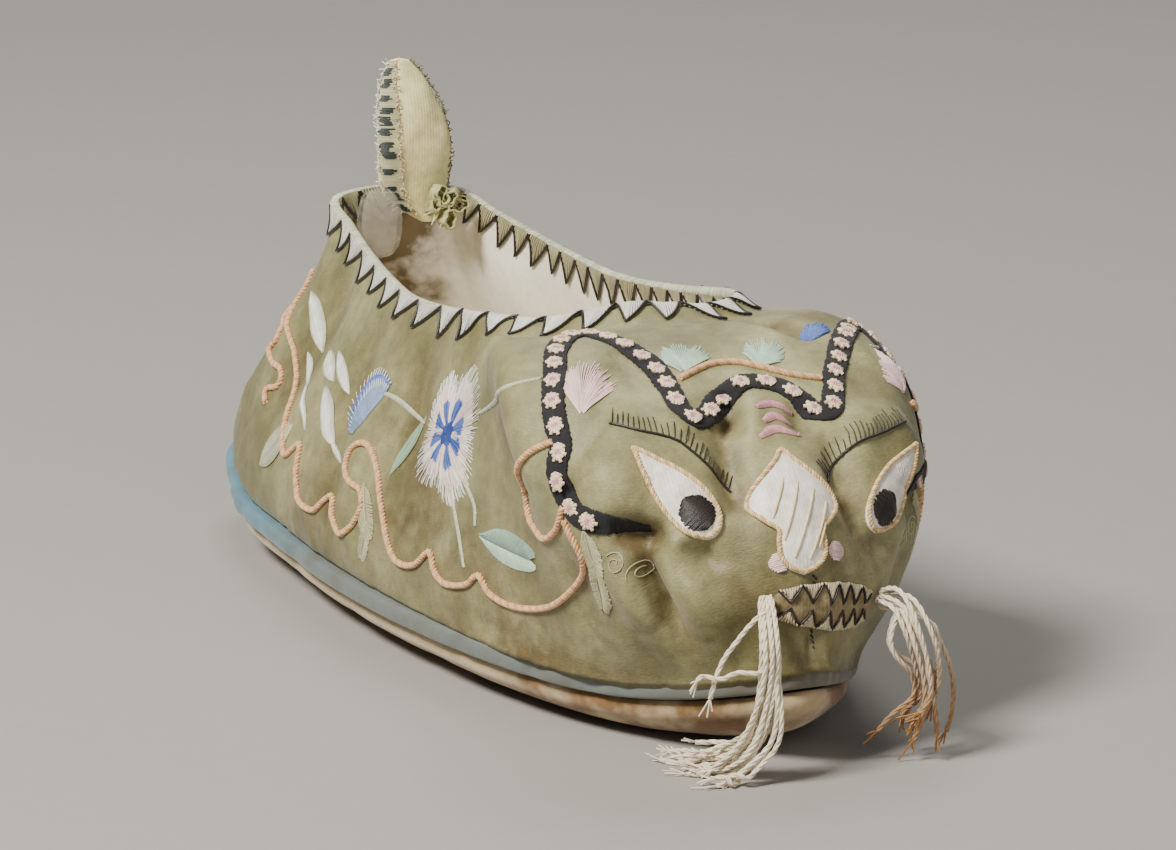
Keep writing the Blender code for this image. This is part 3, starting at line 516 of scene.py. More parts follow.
def smooth_path(points, count):
    """Points evenly spread along a smooth curve through the given ones."""
    pts = np.array(points, float)
    ends = np.vstack([2 * pts[0] - pts[1], pts, 2 * pts[-1] - pts[-2]])
    u = np.linspace(0.0, 1.0, 16, endpoint=False)[:, None]
    dense = []
    for i in range(len(pts) - 1):
        a, b, c, d = ends[i:i + 4]
        dense.append(0.5 * (2 * b + (c - a) * u + (2 * a - 5 * b + 4 * c - d) * u ** 2
                            + (3 * b - a - 3 * c + d) * u ** 3))
    dense = np.vstack(dense + [pts[-1:]])
    return spread(dense, dense, count)


def closed_path(points, count):
    """Points evenly spread round a smooth closed curve, with the first one again at the end."""
    return smooth_path([*points, points[0]], count)


def all_round(count):
    """Stations evenly spread round the shoe from the heel."""
    return -1.0 + 2.0 * np.arange(count) / count


def on_flank(side, route):
    """A route's places on one side of the shoe: 1 for the left, -1 for the right."""
    return [(side * station, height) for station, height in route]


def spread(values, points, count):
    """Values read at count places spaced evenly along the line of points."""
    run = np.concatenate([[0.0], np.cumsum(np.linalg.norm(np.diff(points, axis=0), axis=1))])
    places = np.linspace(0.0, run[-1], count)
    return np.column_stack([np.interp(places, run, values[:, c]) for c in range(values.shape[1])])


def chart_path(route, spacing):
    """Chart places at an even spacing in millimetres along a smooth route on the upper."""
    dense = smooth_path(route, 24 * len(route))
    points = bare_point(*dense.T)
    total = np.linalg.norm(np.diff(points, axis=0), axis=1).sum()
    return spread(dense, points, max(3, int(total / spacing)))


def small_folds():
    """Short shallow folds all over, mostly up and down the wall."""
    rng = default_rng(2)
    folds = []
    for _ in range(110):
        station, height = rng.uniform(-1.0, 1.0), rng.uniform(0.04, 0.85)
        tilt, reach = rng.uniform(-0.02, 0.02), rng.uniform(0.05, 0.13)
        middle = (station + 0.3 * tilt, height)
        route = ((station - tilt, height - reach), middle, (station + tilt, height + reach))
        folds.append(Crease(route, rng.uniform(1.1, 2.4), rng.uniform(-0.4, 0.4)))
    return folds


FOLD_POINTS = 24
FOLDS = [(fold, bare_point(*smooth_path(fold.route, FOLD_POINTS).T)) for fold in (*CREASES, *small_folds())]
FOLD_FADE = np.sin(np.pi * (np.arange(FOLD_POINTS) + 0.5) / FOLD_POINTS) ** 0.7


def folded(points):
    """How far folds and small wrinkles lift the silk."""
    flat = points.reshape(-1, 3)
    total = np.zeros(len(flat))
    for fold, line in FOLDS:
        reach = 2.6 * fold.width
        near = np.flatnonzero(((flat > line.min(0) - reach) & (flat < line.max(0) + reach)).all(1))
        square = ((flat[near][:, None, :] - line[None]) ** 2).sum(-1)
        total[near] -= fold.depth * FOLD_FADE[square.argmin(1)] * np.exp(-square.min(1) / fold.width ** 2)
    return total.reshape(points.shape[:-1])


def relief(stations, points):
    """How far the folded silk and the raised collar stand off the plain face."""
    places, rises, hollows = zip(*LIPS)
    rise, hollow = np.interp(stations, places, rises), np.interp(stations, places, hollows)
    below = np.linalg.norm(points - bare_point(stations, np.ones(np.shape(stations))), axis=-1)
    dip = (1.0 - np.exp(-(below / 1.9) ** 2)) * np.exp(-(below / 9.0) ** 2)
    return folded(points) + rise * np.exp(-(below / 3.0) ** 2) - hollow * dip


def to_scene(points):
    """Millimetres from the heel to metres from the origin."""
    return (np.asarray(points, float) + (HEEL_END, 0.0, 0.0)) * MM


def on_silk(chart, lift=0.0):
    """Points that stand off the creased silk at chart places by lift, in metres."""
    point, normal = frame_at(chart[..., 0], chart[..., 1])[:2]
    return to_scene(point + normal * (relief(chart[..., 0], point) + lift)[..., None])


def axes_at(place):
    """Directions on the upper at a place: towards the toe, and up the wall."""
    _, normal, along, up = frame_at(*place)
    fore = unit(along) * (-1.0 if place[0] > 0.0 else 1.0)
    rise = np.cross(normal, fore)
    return fore, rise * np.sign(rise @ up)


def chart_at(place, axes, first, second):
    """Chart places of points given in millimetres along two axes in the tangent plane at a place."""
    base = frame_at(*place)[0]
    one, two = axes
    first, second = np.broadcast_arrays(np.asarray(first, float), np.asarray(second, float))
    target = base + first[..., None] * one + second[..., None] * two
    station = np.full(first.shape, float(place[0]))
    height = np.full(first.shape, float(place[1]))
    for _ in range(5):
        point, _, along, up = frame_at(station, height)
        miss = target - point
        a, b, c, d = along @ one, up @ one, along @ two, up @ two
        miss_one, miss_two = miss @ one, miss @ two
        station = station + (miss_one * d - miss_two * b) / (a * d - b * c)
        height = height + (miss_two * a - miss_one * c) / (a * d - b * c)
    return np.stack([station, height], -1)


def surface_step(along, up, step):
    """Chart steps that move by millimetre steps on the surface."""
    aa, uu, au = (along * along).sum(-1), (up * up).sum(-1), (along * up).sum(-1)
    sa, su = (step * along).sum(-1), (step * up).sum(-1)
    det = aa * uu - au * au
    return np.stack([(sa * uu - su * au) / det, (su * aa - sa * au) / det], -1)


def shades(colour, count, amount, seed):
    """Colours of count threads that vary a little round one colour."""
    values = np.tile(np.array(colour, float), (count, 1))
    values[:, :3] *= 1.0 + amount * default_rng(seed).uniform(-1.0, 1.0, (count, 1))
    return np.clip(values, 0.0, 1.0)


def sewn(charts, lifts, radius, colours):
    """Threads on the silk from chart places (threads, points, 2), with the lift of each point."""
    points = on_silk(charts, np.broadcast_to(lifts, charts.shape[:-1]))
    return [Thread(p, radius, c) for p, c in zip(points, colours)]


def arch(count, low, high):
    """Lifts of a stitch that comes out of the silk, stands over it and goes in again."""
    return low + (high - low) * np.sin(np.linspace(0.0, np.pi, count)) ** 0.5


def between(starts, ends, count):
    """Places on straight stitches from starts to ends."""
    u = np.linspace(0.0, 1.0, count)[None, :, None]
    return starts[:, None, :] * (1.0 - u) + ends[:, None, :] * u


def stitches(place, axes, starts, ends, lifts, radius, colours):
    """Straight stitches between (along, across) points in millimetres near a place."""
    lines = between(np.asarray(starts, float), np.asarray(ends, float), len(lifts))
    return sewn(chart_at(place, axes, lines[..., 0], lines[..., 1]), lifts, radius, colours)


def satin_bar(route, width, dye, seed, slant=0.0):
    """Short satin stitches side by side across a route, wide in the middle and narrow at both ends."""
    path = chart_path(route, STITCH_STEP)
    point, normal, along, up = frame_at(*path.T)
    run = unit(np.gradient(point, axis=0))
    shares = np.linspace(0.04, 0.96, len(path))
    half = 0.5 * width * (0.35 + 0.65 * np.sin(np.pi * shares))
    shift = surface_step(along, up, (np.cross(normal, run) + slant * run) * half[:, None])
    dyes = shades(dye, len(path), 0.08, seed)
    return sewn(between(path - shift, path + shift, 4), arch(4, 0.0, 0.15), 0.12, dyes)


# Kinds of node that the finishes share
NOISE, RANGE, BUMP = "ShaderNodeTexNoise", "ShaderNodeMapRange", "ShaderNodeBump"
MIX, MATH, VECTORS = "ShaderNodeMix", "ShaderNodeMath", "ShaderNodeVectorMath"
ATTRIBUTE, SHADER, OUTPUT = "ShaderNodeAttribute", "ShaderNodeBsdfPrincipled", "ShaderNodeOutputMaterial"


def add(tree, kind, inputs=(), **settings):
    """Add a node with its settings, and set or link its inputs, given by name or in their order.

    A node among the inputs links its first output in use.
    """
    node = tree.nodes.new(kind)
    for key, value in settings.items():
        setattr(node, key, value)
    for key, value in inputs.items() if isinstance(inputs, dict) else enumerate(inputs):
        if isinstance(value, bpy.types.Node):
            value = next(socket for socket in value.outputs if socket.enabled)
        if isinstance(value, bpy.types.NodeSocket):
            tree.links.new(value, node.inputs[key])
        else:
            node.inputs[key].default_value = value
    return node


def new_tree(name, inputs):
    """Geometry node tree with named inputs after its geometry. Returns it and its input sockets."""
    tree = bpy.data.node_groups.new(name, "GeometryNodeTree")
    tree.interface.new_socket("Geometry", in_out="OUTPUT", socket_type="NodeSocketGeometry")
    tree.interface.new_socket("Geometry", in_out="INPUT", socket_type="NodeSocketGeometry")
    for label, kind in inputs.items():
        tree.interface.new_socket(label, in_out="INPUT", socket_type="NodeSocket" + kind)
    return tree, add(tree, "NodeGroupInput").outputs


def close_tree(tree, geometry, material):
    """End a tree: shade what it made smooth, realize it and give it its material."""
    smooth = add(tree, "GeometryNodeSetShadeSmooth", {"Geometry": geometry})
    real = add(tree, "GeometryNodeRealizeInstances", {"Geometry": smooth})
    dressed = add(tree, "GeometryNodeSetMaterial", {"Geometry": real, "Material": material})
    add(tree, "NodeGroupOutput", {"Geometry": dressed})
    return tree


def thread_tree():
    """Round threads along lines, as wide as each point's thread_radius."""
    tree, given = new_tree("Sewn threads", {"Sides": "Int", "Material": "Material"})
    curve = add(tree, "GeometryNodeMeshToCurve", {"Mesh": given["Geometry"]})
    ring = add(tree, "GeometryNodeCurvePrimitiveCircle", {"Resolution": given["Sides"], "Radius": 1.0})
    radius = add(tree, "GeometryNodeInputNamedAttribute", {"Name": "thread_radius"}, data_type="FLOAT")
    tube = add(tree, "GeometryNodeCurveToMesh", {
        "Curve": curve, "Profile Curve": ring, "Scale": radius, "Fill Caps": True})
    return close_tree(tree, tube, given["Material"])


def cord_tree():
    """Strands twisted round each line. Each point keeps the number of its strand."""
    tree, given = new_tree("Twisted cord", {
        "Strands": "Int", "Strand Radius": "Float", "Lay": "Float",
        "Step": "Float", "Sides": "Int", "Material": "Material"})
    curve = add(tree, "GeometryNodeMeshToCurve", {"Mesh": given["Geometry"]})
    even = add(tree, "GeometryNodeResampleCurve", {"Curve": curve, "Length": given["Step"]}, mode="LENGTH")
    copies = add(tree, "GeometryNodeDuplicateElements", {"Geometry": even, "Amount": given["Strands"]},
                 domain="SPLINE")
    number = copies.outputs["Duplicate Index"]
    strand = add(tree, "GeometryNodeStoreNamedAttribute", {
        "Geometry": copies, "Name": "strand", "Value": number}, data_type="FLOAT", domain="POINT")
    place = add(tree, "GeometryNodeSplineParameter")
    twist = add(tree, MATH, (place.outputs["Length"], given["Lay"]), operation="DIVIDE")
    share = add(tree, MATH, (number, given["Strands"]), operation="DIVIDE")
    turns = add(tree, MATH, (twist, share), operation="ADD")
    angle = add(tree, MATH, (turns, TURN), operation="MULTIPLY")
    cosine = add(tree, MATH, (angle,), operation="COSINE")
    sine = add(tree, MATH, (angle,), operation="SINE")
    normal = add(tree, "GeometryNodeInputNormal")
    tangent = add(tree, "GeometryNodeInputTangent")
    other = add(tree, VECTORS, (tangent, normal), operation="CROSS_PRODUCT")
    first = add(tree, VECTORS, {0: normal, "Scale": cosine}, operation="SCALE")
    second = add(tree, VECTORS, {0: other, "Scale": sine}, operation="SCALE")
    around = add(tree, VECTORS, (first, second), operation="ADD")
    offset = add(tree, VECTORS, {0: around, "Scale": given["Strand Radius"]}, operation="SCALE")
    moved = add(tree, "GeometryNodeSetPosition", {"Geometry": strand, "Offset": offset})
    ring = add(tree, "GeometryNodeCurvePrimitiveCircle", {
        "Resolution": given["Sides"], "Radius": given["Strand Radius"]})
    tube = add(tree, "GeometryNodeCurveToMesh", {"Curve": moved, "Profile Curve": ring, "Fill Caps": True})
    return close_tree(tree, tube, given["Material"])


def motif_tree():
    """Copies of one motif on points, turned by each point's turn attribute."""
    tree, given = new_tree("Motifs on points", {"Motif": "Object", "Material": "Material"})
    motif = add(tree, "GeometryNodeObjectInfo", {"Object": given["Motif"]})
    points = add(tree, "GeometryNodeMeshToPoints", {"Mesh": given["Geometry"]})
    turn = add(tree, "GeometryNodeInputNamedAttribute", {"Name": "turn"}, data_type="FLOAT_VECTOR")
    rotation = add(tree, "FunctionNodeEulerToRotation", {"Euler": turn})
    copies = add(tree, "GeometryNodeInstanceOnPoints", {
        "Points": points, "Instance": motif.outputs["Geometry"], "Rotation": rotation})
    return close_tree(tree, copies, given["Material"])


def tree_named(name, build):
    """A tree that is built once and shared."""
    return bpy.data.node_groups.get(name) or build()


def link(name, mesh):
    """New object at the origin with a mesh."""
    piece = bpy.data.objects.new(name, mesh)
    bpy.context.scene.collection.objects.link(piece)
    return piece


def grow(name, mesh, tree, sizes):
    """Run a geometry node tree on a mesh, with its inputs set, and keep the result as a plain mesh."""
    seed = link(name + "_seed", mesh)
    modifier = seed.modifiers.new(tree.name, "NODES")
    modifier.node_group = tree
    for item in tree.interface.items_tree:
        if item.in_out == "INPUT" and item.name in sizes:
            modifier[item.identifier] = sizes[item.name]
    seen = seed.evaluated_get(bpy.context.evaluated_depsgraph_get())
    grown = bpy.data.meshes.new_from_object(seen)
    grown.name = name
    seed.modifiers.remove(modifier)
    bpy.data.objects.remove(seed)
    bpy.data.meshes.remove(mesh)
    return link(name, grown)


def line_mesh(name, lines):
    """Mesh of open lines of points, in metres."""
    mesh = bpy.data.meshes.new(name)
    starts = np.cumsum([0] + [len(line) for line in lines])
    edges = []
    for start, line in zip(starts, lines):
        first = np.arange(start, start + len(line) - 1)
        edges.append(np.column_stack([first, first + 1]))
    mesh.from_pydata(np.vstack(lines).tolist(), np.vstack(edges).tolist(), [])
    return mesh


def write_attribute(mesh, name, values, kind="FLOAT"):
    """Store values on the mesh's points."""
    field = {"FLOAT": "value", "FLOAT_VECTOR": "vector", "FLOAT_COLOR": "color"}[kind]
    attribute = mesh.attributes.new(name, kind, "POINT")
    attribute.data.foreach_set(field, np.asarray(values, np.float32).ravel())


def make_threads(name, threads, sides=5):
    """One piece from many threads of silk floss."""
    mesh = line_mesh(name, [thread.points for thread in threads])
    counts = [len(thread.points) for thread in threads]
    write_attribute(mesh, "thread_radius", np.repeat([t.radius * MM for t in threads], counts))
    dyes = np.repeat([tuple(t.colour) for t in threads], counts, axis=0)
    write_attribute(mesh, "floss_colour", dyes, "FLOAT_COLOR")
    tree = tree_named("Sewn threads", thread_tree)
    return grow(name, mesh, tree, {"Sides": sides, "Material": silk_floss()})


def make_cord(name, lines, width, lay, material, step):
    """One piece of twisted three-strand cord along each line."""
    return grow(name, line_mesh(name, lines), tree_named("Twisted cord", cord_tree), {
        "Strands": 3, "Strand Radius": width / 4.3, "Lay": lay, "Step": step, "Sides": 6,
        "Material": material})


def make_solid(name, points, faces, materials, slots=None, uvs=None, soil_and_shade=None):
    """Smooth mesh piece from points in metres, with a UV map in metres and, if given, an attribute of soil
    and painted shade.
    """
    mesh = bpy.data.meshes.new(name)
    mesh.from_pydata(points.tolist(), [], faces)
    for material in materials:
        mesh.materials.append(material)
    if slots is not None:
        mesh.polygons.foreach_set("material_index", np.asarray(slots, np.int32))
    if uvs is not None:
        corners = np.zeros(len(mesh.loops), np.int32)
        mesh.loops.foreach_get("vertex_index", corners)
        layer = mesh.uv_layers.new(name="cloth")
        layer.uv.foreach_set("vector", np.asarray(uvs, np.float32)[corners].ravel())
    if soil_and_shade is not None:
        write_attribute(mesh, "soil_and_shade", soil_and_shade)
    mesh.shade_smooth()
    mesh.validate()
    return link(name, mesh)


def ring_faces(rows, columns, wrap=False):
    """Quads between rings of points, and from the last ring back to the first if wrap is set."""
    faces = []
    for row in range(rows if wrap else rows - 1):
        low, high = row * columns, (row + 1) % rows * columns
        for i in range(columns):
            j = (i + 1) % columns
            faces.append((low + i, low + j, high + j, high + i))
    return faces


def cone_caps(rows, columns):
    """Triangles from the first ring to the last point but one, and from the last ring to the last point."""
    last, back = (rows - 1) * columns, rows * columns
    caps = [((i + 1) % columns, i, back) for i in range(columns)]
    return caps + [(last + i, last + (i + 1) % columns, back + 1) for i in range(columns)]


def join(name, pieces):
    """Join pieces into one."""
    bpy.ops.object.select_all(action="DESELECT")
    for piece in pieces:
        piece.select_set(True)
    bpy.context.view_layer.objects.active = pieces[0]
    bpy.ops.object.join()
    pieces[0].name = name
    return pieces[0]


def settle(piece, slot, *nodes):
    """Ride a finished piece on the shoe and hide the frame's nodes it stands for. The slot argument is not
    used.
    """
    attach(piece, "root")
    if nodes:
        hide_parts(*nodes)
    return piece


def new_material(name):
    """New material, its node tree, and the piece's own coordinates in it."""
    material = bpy.data.materials.new(name)
    material.use_nodes = True
    tree = material.node_tree
    tree.nodes.clear()
    return material, tree, add(tree, "ShaderNodeTexCoord").outputs["Object"]


def silk_damask(colours):
    """Silk damask: a crepe grain and slubs along the weft, a soft lustre, faded swells, brown stains, and
    painted shade in the troughs of its folds and in the hollow of the vamp.
    """
    material, tree, place = new_material("silk damask, hand woven")
    cloud = add(tree, NOISE, {"Vector": place, "Scale": repeats(13.33), "Detail": 5.0})
    fade = add(tree, RANGE, (cloud, 0.36, 0.64))
    ground = add(tree, MIX, {"Factor": fade, 6: colours.silk, 7: colours.silk_worn}, data_type="RGBA")
    soil_and_shade = add(tree, ATTRIBUTE, attribute_name="soil_and_shade")
    patch = add(tree, NOISE, {"Vector": place, "Scale": repeats(4.762), "Detail": 7.0, "Roughness": 0.62})
    ragged = add(tree, RANGE, (patch, 0.3, 0.62))
    # The attribute holds real stains together with painted shade in the fold troughs and the vamp's hollow,
    # broken up by ragged noise
    soil_and_shade_amount = add(tree, MATH, (soil_and_shade.outputs["Fac"], ragged), operation="MULTIPLY")
    darkened = add(tree, MIX, {"Factor": soil_and_shade_amount, 6: ground, 7: colours.soil_and_shade}, data_type="RGBA")
    # Crepe grain that repeats each 0.6 by 0.2 mm, coarser than the real one so that it shows, and slubs
    weave = add(tree, "ShaderNodeTexCoord").outputs["UV"]
    fine = add(tree, "ShaderNodeMapping", {"Vector": weave, "Scale": (repeats(0.5882), repeats(0.1923), 1.0)})
    grain = add(tree, NOISE, {"Vector": fine, "Scale": 1.0, "Detail": 3.0})
    weft = add(tree, "ShaderNodeMapping", {"Vector": weave, "Scale": (repeats(5.882), repeats(0.9091), 1.0)})
    slub = add(tree, NOISE, {"Vector": weft, "Scale": 1.0, "Detail": 3.0})
    cloth = add(tree, MATH, (slub, 0.3, grain), operation="MULTIPLY_ADD")
    tone = add(tree, RANGE, (cloth, 0.42, 0.88, 0.84, 1.13))
    mottle = add(tree, NOISE, {"Vector": place, "Scale": repeats(2.083), "Detail": 6.0, "Roughness": 0.6})
    worn = add(tree, RANGE, (mottle, 0.32, 0.68, 0.8, 1.16))
    shade = add(tree, MATH, (tone, worn), operation="MULTIPLY")
    tinted = add(tree, VECTORS, {0: darkened, "Scale": shade}, operation="SCALE")
    bump = add(tree, BUMP, {"Height": cloth, "Strength": 0.45, "Distance": 0.14 * MM})
    rough = add(tree, RANGE, (cloud, 0.0, 1.0, 0.6, 0.42))
    shader = add(tree, SHADER, {
        "Base Color": tinted, "Roughness": rough, "Normal": bump, "Specular IOR Level": 0.45,
        "Sheen Weight": 0.12, "Sheen Roughness": 0.4})
    add(tree, OUTPUT, {"Surface": shader})
    return material


def plain_cotton(name, ground, darkening):
    """Plain woven cotton: matt and slubby, darkened where its attribute says so: stains, and on the lining
    also painted shade inside the heel.
    """
    material, tree, place = new_material(name)
    soil_and_shade = add(tree, ATTRIBUTE, attribute_name="soil_and_shade")
    blotch = add(tree, NOISE, {"Vector": place, "Scale": repeats(4.545), "Detail": 5.0})
    ragged = add(tree, RANGE, (blotch, 0.35, 0.65, 0.35, 1.3))
    amount = add(tree, MATH, (soil_and_shade.outputs["Fac"], ragged), operation="MULTIPLY", use_clamp=True)
    base = add(tree, MIX, {"Factor": amount, 6: ground, 7: darkening}, data_type="RGBA")
    slub = add(tree, NOISE, {"Vector": place, "Scale": repeats(1.111), "Detail": 4.0})
    tone = add(tree, RANGE, (slub, 0.25, 0.75, 0.93, 1.07))
    tinted = add(tree, VECTORS, {0: base, "Scale": tone}, operation="SCALE")
    bump = add(tree, BUMP, {"Height": slub, "Strength": 0.5, "Distance": 0.2 * MM})
    shader = add(tree, SHADER, {
        "Base Color": tinted, "Roughness": 0.9, "Normal": bump, "Sheen Weight": 0.2})
    add(tree, OUTPUT, {"Surface": shader})
    return material


def faded_blue_silk(colours):
    """Plain silk stretched over a padded edge: crinkled, faded, deeper blue where the light never reached."""
    material, tree, place = new_material("blue silk, stretched")
    deep = add(tree, ATTRIBUTE, attribute_name="deep")
    base = add(tree, MIX, {"Factor": deep.outputs["Fac"], 6: colours.blue_silk, 7: colours.blue_deep},
               data_type="RGBA")
    soil_and_shade = add(tree, ATTRIBUTE, attribute_name="soil_and_shade")
    blotch = add(tree, NOISE, {"Vector": place, "Scale": repeats(3.846), "Detail": 5.0})
    ragged = add(tree, RANGE, (blotch, 0.4, 0.7, 0.0, 0.35))
    amount = add(tree, MATH, (ragged, soil_and_shade.outputs["Fac"]), operation="ADD", use_clamp=True)
    darkened = add(tree, MIX, {"Factor": amount, 6: base, 7: colours.soil_and_shade}, data_type="RGBA")
    crinkle = add(tree, NOISE, {"Vector": place, "Scale": repeats(1.111), "Detail": 3.0})
    bump = add(tree, BUMP, {"Height": crinkle, "Strength": 0.4, "Distance": 0.2 * MM})
    shader = add(tree, SHADER, {"Base Color": darkened, "Roughness": 0.6, "Normal": bump, "Sheen Weight": 0.2})
    add(tree, OUTPUT, {"Surface": shader})
    return material


def silk_floss():
    """Untwisted silk floss: each stitch keeps its own dye in floss_colour and has a bright lustre."""
    name = "silk floss"
    if name in bpy.data.materials:
        return bpy.data.materials[name]
    material, tree, place = new_material(name)
    dye = add(tree, ATTRIBUTE, attribute_name="floss_colour")
    worn = add(tree, NOISE, {"Vector": place, "Scale": repeats(1.429), "Detail": 2.0})
    tone = add(tree, RANGE, (worn, 0.3, 0.7, 0.82, 1.02))
    tinted = add(tree, VECTORS, {0: dye.outputs["Color"], "Scale": tone}, operation="SCALE")
    shader = add(tree, SHADER, {
        "Base Color": tinted, "Roughness": 0.44, "Sheen Weight": 0.15, "Sheen Roughness": 0.3})
    add(tree, OUTPUT, {"Surface": shader})
    return material


def twisted_thread(name, first, second, darkening):
    """Twisted thread: one strand of the first colour among the second, matt and hairy, soiled in places."""
    material, tree, place = new_material(name)
    strand = add(tree, ATTRIBUTE, attribute_name="strand")
    base = add(tree, MIX, {"Factor": strand.outputs["Fac"], 6: first, 7: second}, data_type="RGBA")
    soil_and_shade = add(tree, ATTRIBUTE, attribute_name="soil_and_shade")
    darkened = add(tree, MIX, {"Factor": soil_and_shade.outputs["Fac"], 6: base, 7: darkening}, data_type="RGBA")
    fibres = add(tree, NOISE, {"Vector": place, "Scale": repeats(0.5556), "Detail": 4.0})
    tone = add(tree, RANGE, (fibres, 0.3, 0.7, 0.8, 1.06))
    tinted = add(tree, VECTORS, {0: darkened, "Scale": tone}, operation="SCALE")
    bump = add(tree, BUMP, {"Height": fibres, "Strength": 0.4, "Distance": 0.15 * MM})
    shader = add(tree, SHADER, {
        "Base Color": tinted, "Roughness": 0.75, "Normal": bump, "Sheen Weight": 0.25})
    add(tree, OUTPUT, {"Surface": shader})
    return material


def woven_silk(name, ground, tint, roughness):
    """Small pieces of plain silk: ribs 0.4 mm apart across the foot, mottled where it has worn."""
    material, tree, place = new_material(name)
    mottle = add(tree, NOISE, {"Vector": place, "Scale": repeats(1.613), "Detail": 6.0, "Roughness": 0.65})
    fade = add(tree, RANGE, (mottle, 0.35, 0.65))
    base = add(tree, MIX, {"Factor": fade, 6: ground, 7: tint}, data_type="RGBA")
    parts = add(tree, "ShaderNodeSeparateXYZ", {"Vector": place})
    rows = add(tree, MATH, (parts.outputs["Y"], TURN * repeats(0.4)), operation="MULTIPLY")
    rib = add(tree, MATH, (rows,), operation="SINE")
    tone = add(tree, RANGE, (rib, -1.0, 1.0, 0.97, 1.01))
    tinted = add(tree, VECTORS, {0: base, "Scale": tone}, operation="SCALE")
    bump = add(tree, BUMP, {"Height": rib, "Strength": 0.12, "Distance": 0.08 * MM})
    shader = add(tree, SHADER, {
        "Base Color": tinted, "Roughness": roughness, "Normal": bump, "Sheen Weight": 0.08})
    add(tree, OUTPUT, {"Surface": shader})
    return material


def sheer_gauze(colours):
    """Silk gauze: thin, grey and mostly see-through, denser where its threads crowd."""
    material, tree, place = new_material("silk gauze")
    crowd = add(tree, NOISE, {"Vector": place, "Scale": repeats(1.538), "Detail": 3.0})
    cover = add(tree, RANGE, (crowd, 0.3, 0.7, 0.17, 0.4))
    shader = add(tree, SHADER, {
        "Base Color": colours.gauze, "Roughness": 0.4, "Alpha": cover, "Sheen Weight": 0.3})
    add(tree, OUTPUT, {"Surface": shader})
    return material


def studio_floor(colours):
    """Matt painted floor, pale and even."""
    material, tree, place = new_material("painted floor")
    grain = add(tree, NOISE, {"Vector": place, "Scale": repeats(4.0), "Detail": 3.0})
    tone = add(tree, RANGE, (grain, 0.0, 1.0, 0.96, 1.02))
    tinted = add(tree, VECTORS, {0: colours.floor[:3], "Scale": tone}, operation="SCALE")
    shader = add(tree, SHADER, {"Base Color": tinted, "Roughness": 0.85})
    add(tree, OUTPUT, {"Surface": shader})
    return material


def shoe(context):
    """The sizes and colours that the user sets."""
    return context.scene.tiger_shoe_sizes, context.scene.tiger_shoe_colours


class SHOE_OT_stage(bpy.types.Operator):
    """Lay the floor, light it softly and set the camera"""
    bl_idname = "tiger_shoe.stage"
    bl_label = "Stage"

    def execute(self, context):
        _, colours = shoe(context)
        corners = FLOOR_REACH * np.array(((-1, -1, 0), (1, -1, 0), (1, 1, 0), (-1, 1, 0)))
        make_solid("floor", corners, [(0, 1, 2, 3)], [studio_floor(colours)])
        world = bpy.data.worlds.new("studio")
        world.use_nodes = True
        sky = world.node_tree.nodes["Background"].inputs
        sky["Color"].default_value = linear("#D8DBE0")
        sky["Strength"].default_value = SKY_STRENGTH
        context.scene.world = world
        target = Vector(to_scene(CAMERA_AIM))
        for name, place, width, power in LAMPS:
            lamp = bpy.data.lights.new(name, "AREA")
            lamp.energy = power
            lamp.size = width
            lamp.color = linear("#FFFAF2")[:3]
            stand = bpy.data.objects.new(name, lamp)
            stand.location = place
            stand.rotation_euler = (target - Vector(place)).to_track_quat("-Z", "Y").to_euler()
            context.scene.collection.objects.link(stand)
        camera = bpy.data.objects.new("camera", bpy.data.cameras.new("camera"))
        camera.location = to_scene(CAMERA_PLACE)
        camera.rotation_euler = (target - camera.location).to_track_quat("-Z", "Y").to_euler()
        camera.data.lens = CAMERA_LENS
        camera.data.clip_start = 0.01
        context.scene.collection.objects.link(camera)
        context.scene.camera = camera
        return {"FINISHED"}


def foot_outline(stations, inset):
    """The sole's outline in plan at each station, drawn in towards the middle of the sole."""
    middle = 0.5 * SOLE_LENGTH
    x, y = section_at(stations)[:, :2].T
    along = middle + (x - middle) * (1.0 - inset / middle)
    return np.column_stack([along, y * (1.0 - 2.0 * inset / BALL_WIDTH)])


def sole_layer(name, profile, material, count, uneven):
    """Closed layer of the sole from (inset, height) steps, pushed out by uneven of station and step."""
    stations = all_round(count)
    rows = len(profile)
    points = []
    for row, (inset, height) in enumerate(profile):
        plan = foot_outline(stations, inset - uneven(stations, row / (rows - 1)))
        points.append(np.column_stack([plan, sole_rise(plan[:, 0]) + height]))
    faces = ring_faces(rows, count)
    half = count // 2
    for base, flip in ((0, True), ((rows - 1) * count, False)):
        cap = [(base, base + 1, base + count - 1), (base + half - 1, base + half, base + half + 1)]
        for k in range(1, half - 1):
            cap.append((base + k, base + k + 1, base + count - k - 1, base + count - k))
        faces += [face[::-1] for face in cap] if flip else cap
    flat = np.vstack(points)
    return make_solid(name, to_scene(flat), faces, [material]), np.tile(stations, rows), flat


def ripple(stations, seed, count, width, low, high):
    """Sum of many small folds at random stations round the sole."""
    rng = default_rng(seed)
    gaps = (stations[:, None] - rng.uniform(-1.0, 1.0, count) + 1.0) % 2.0 - 1.0
    return (rng.uniform(low, high, count) * np.exp(-(gaps / width) ** 2)).sum(1)


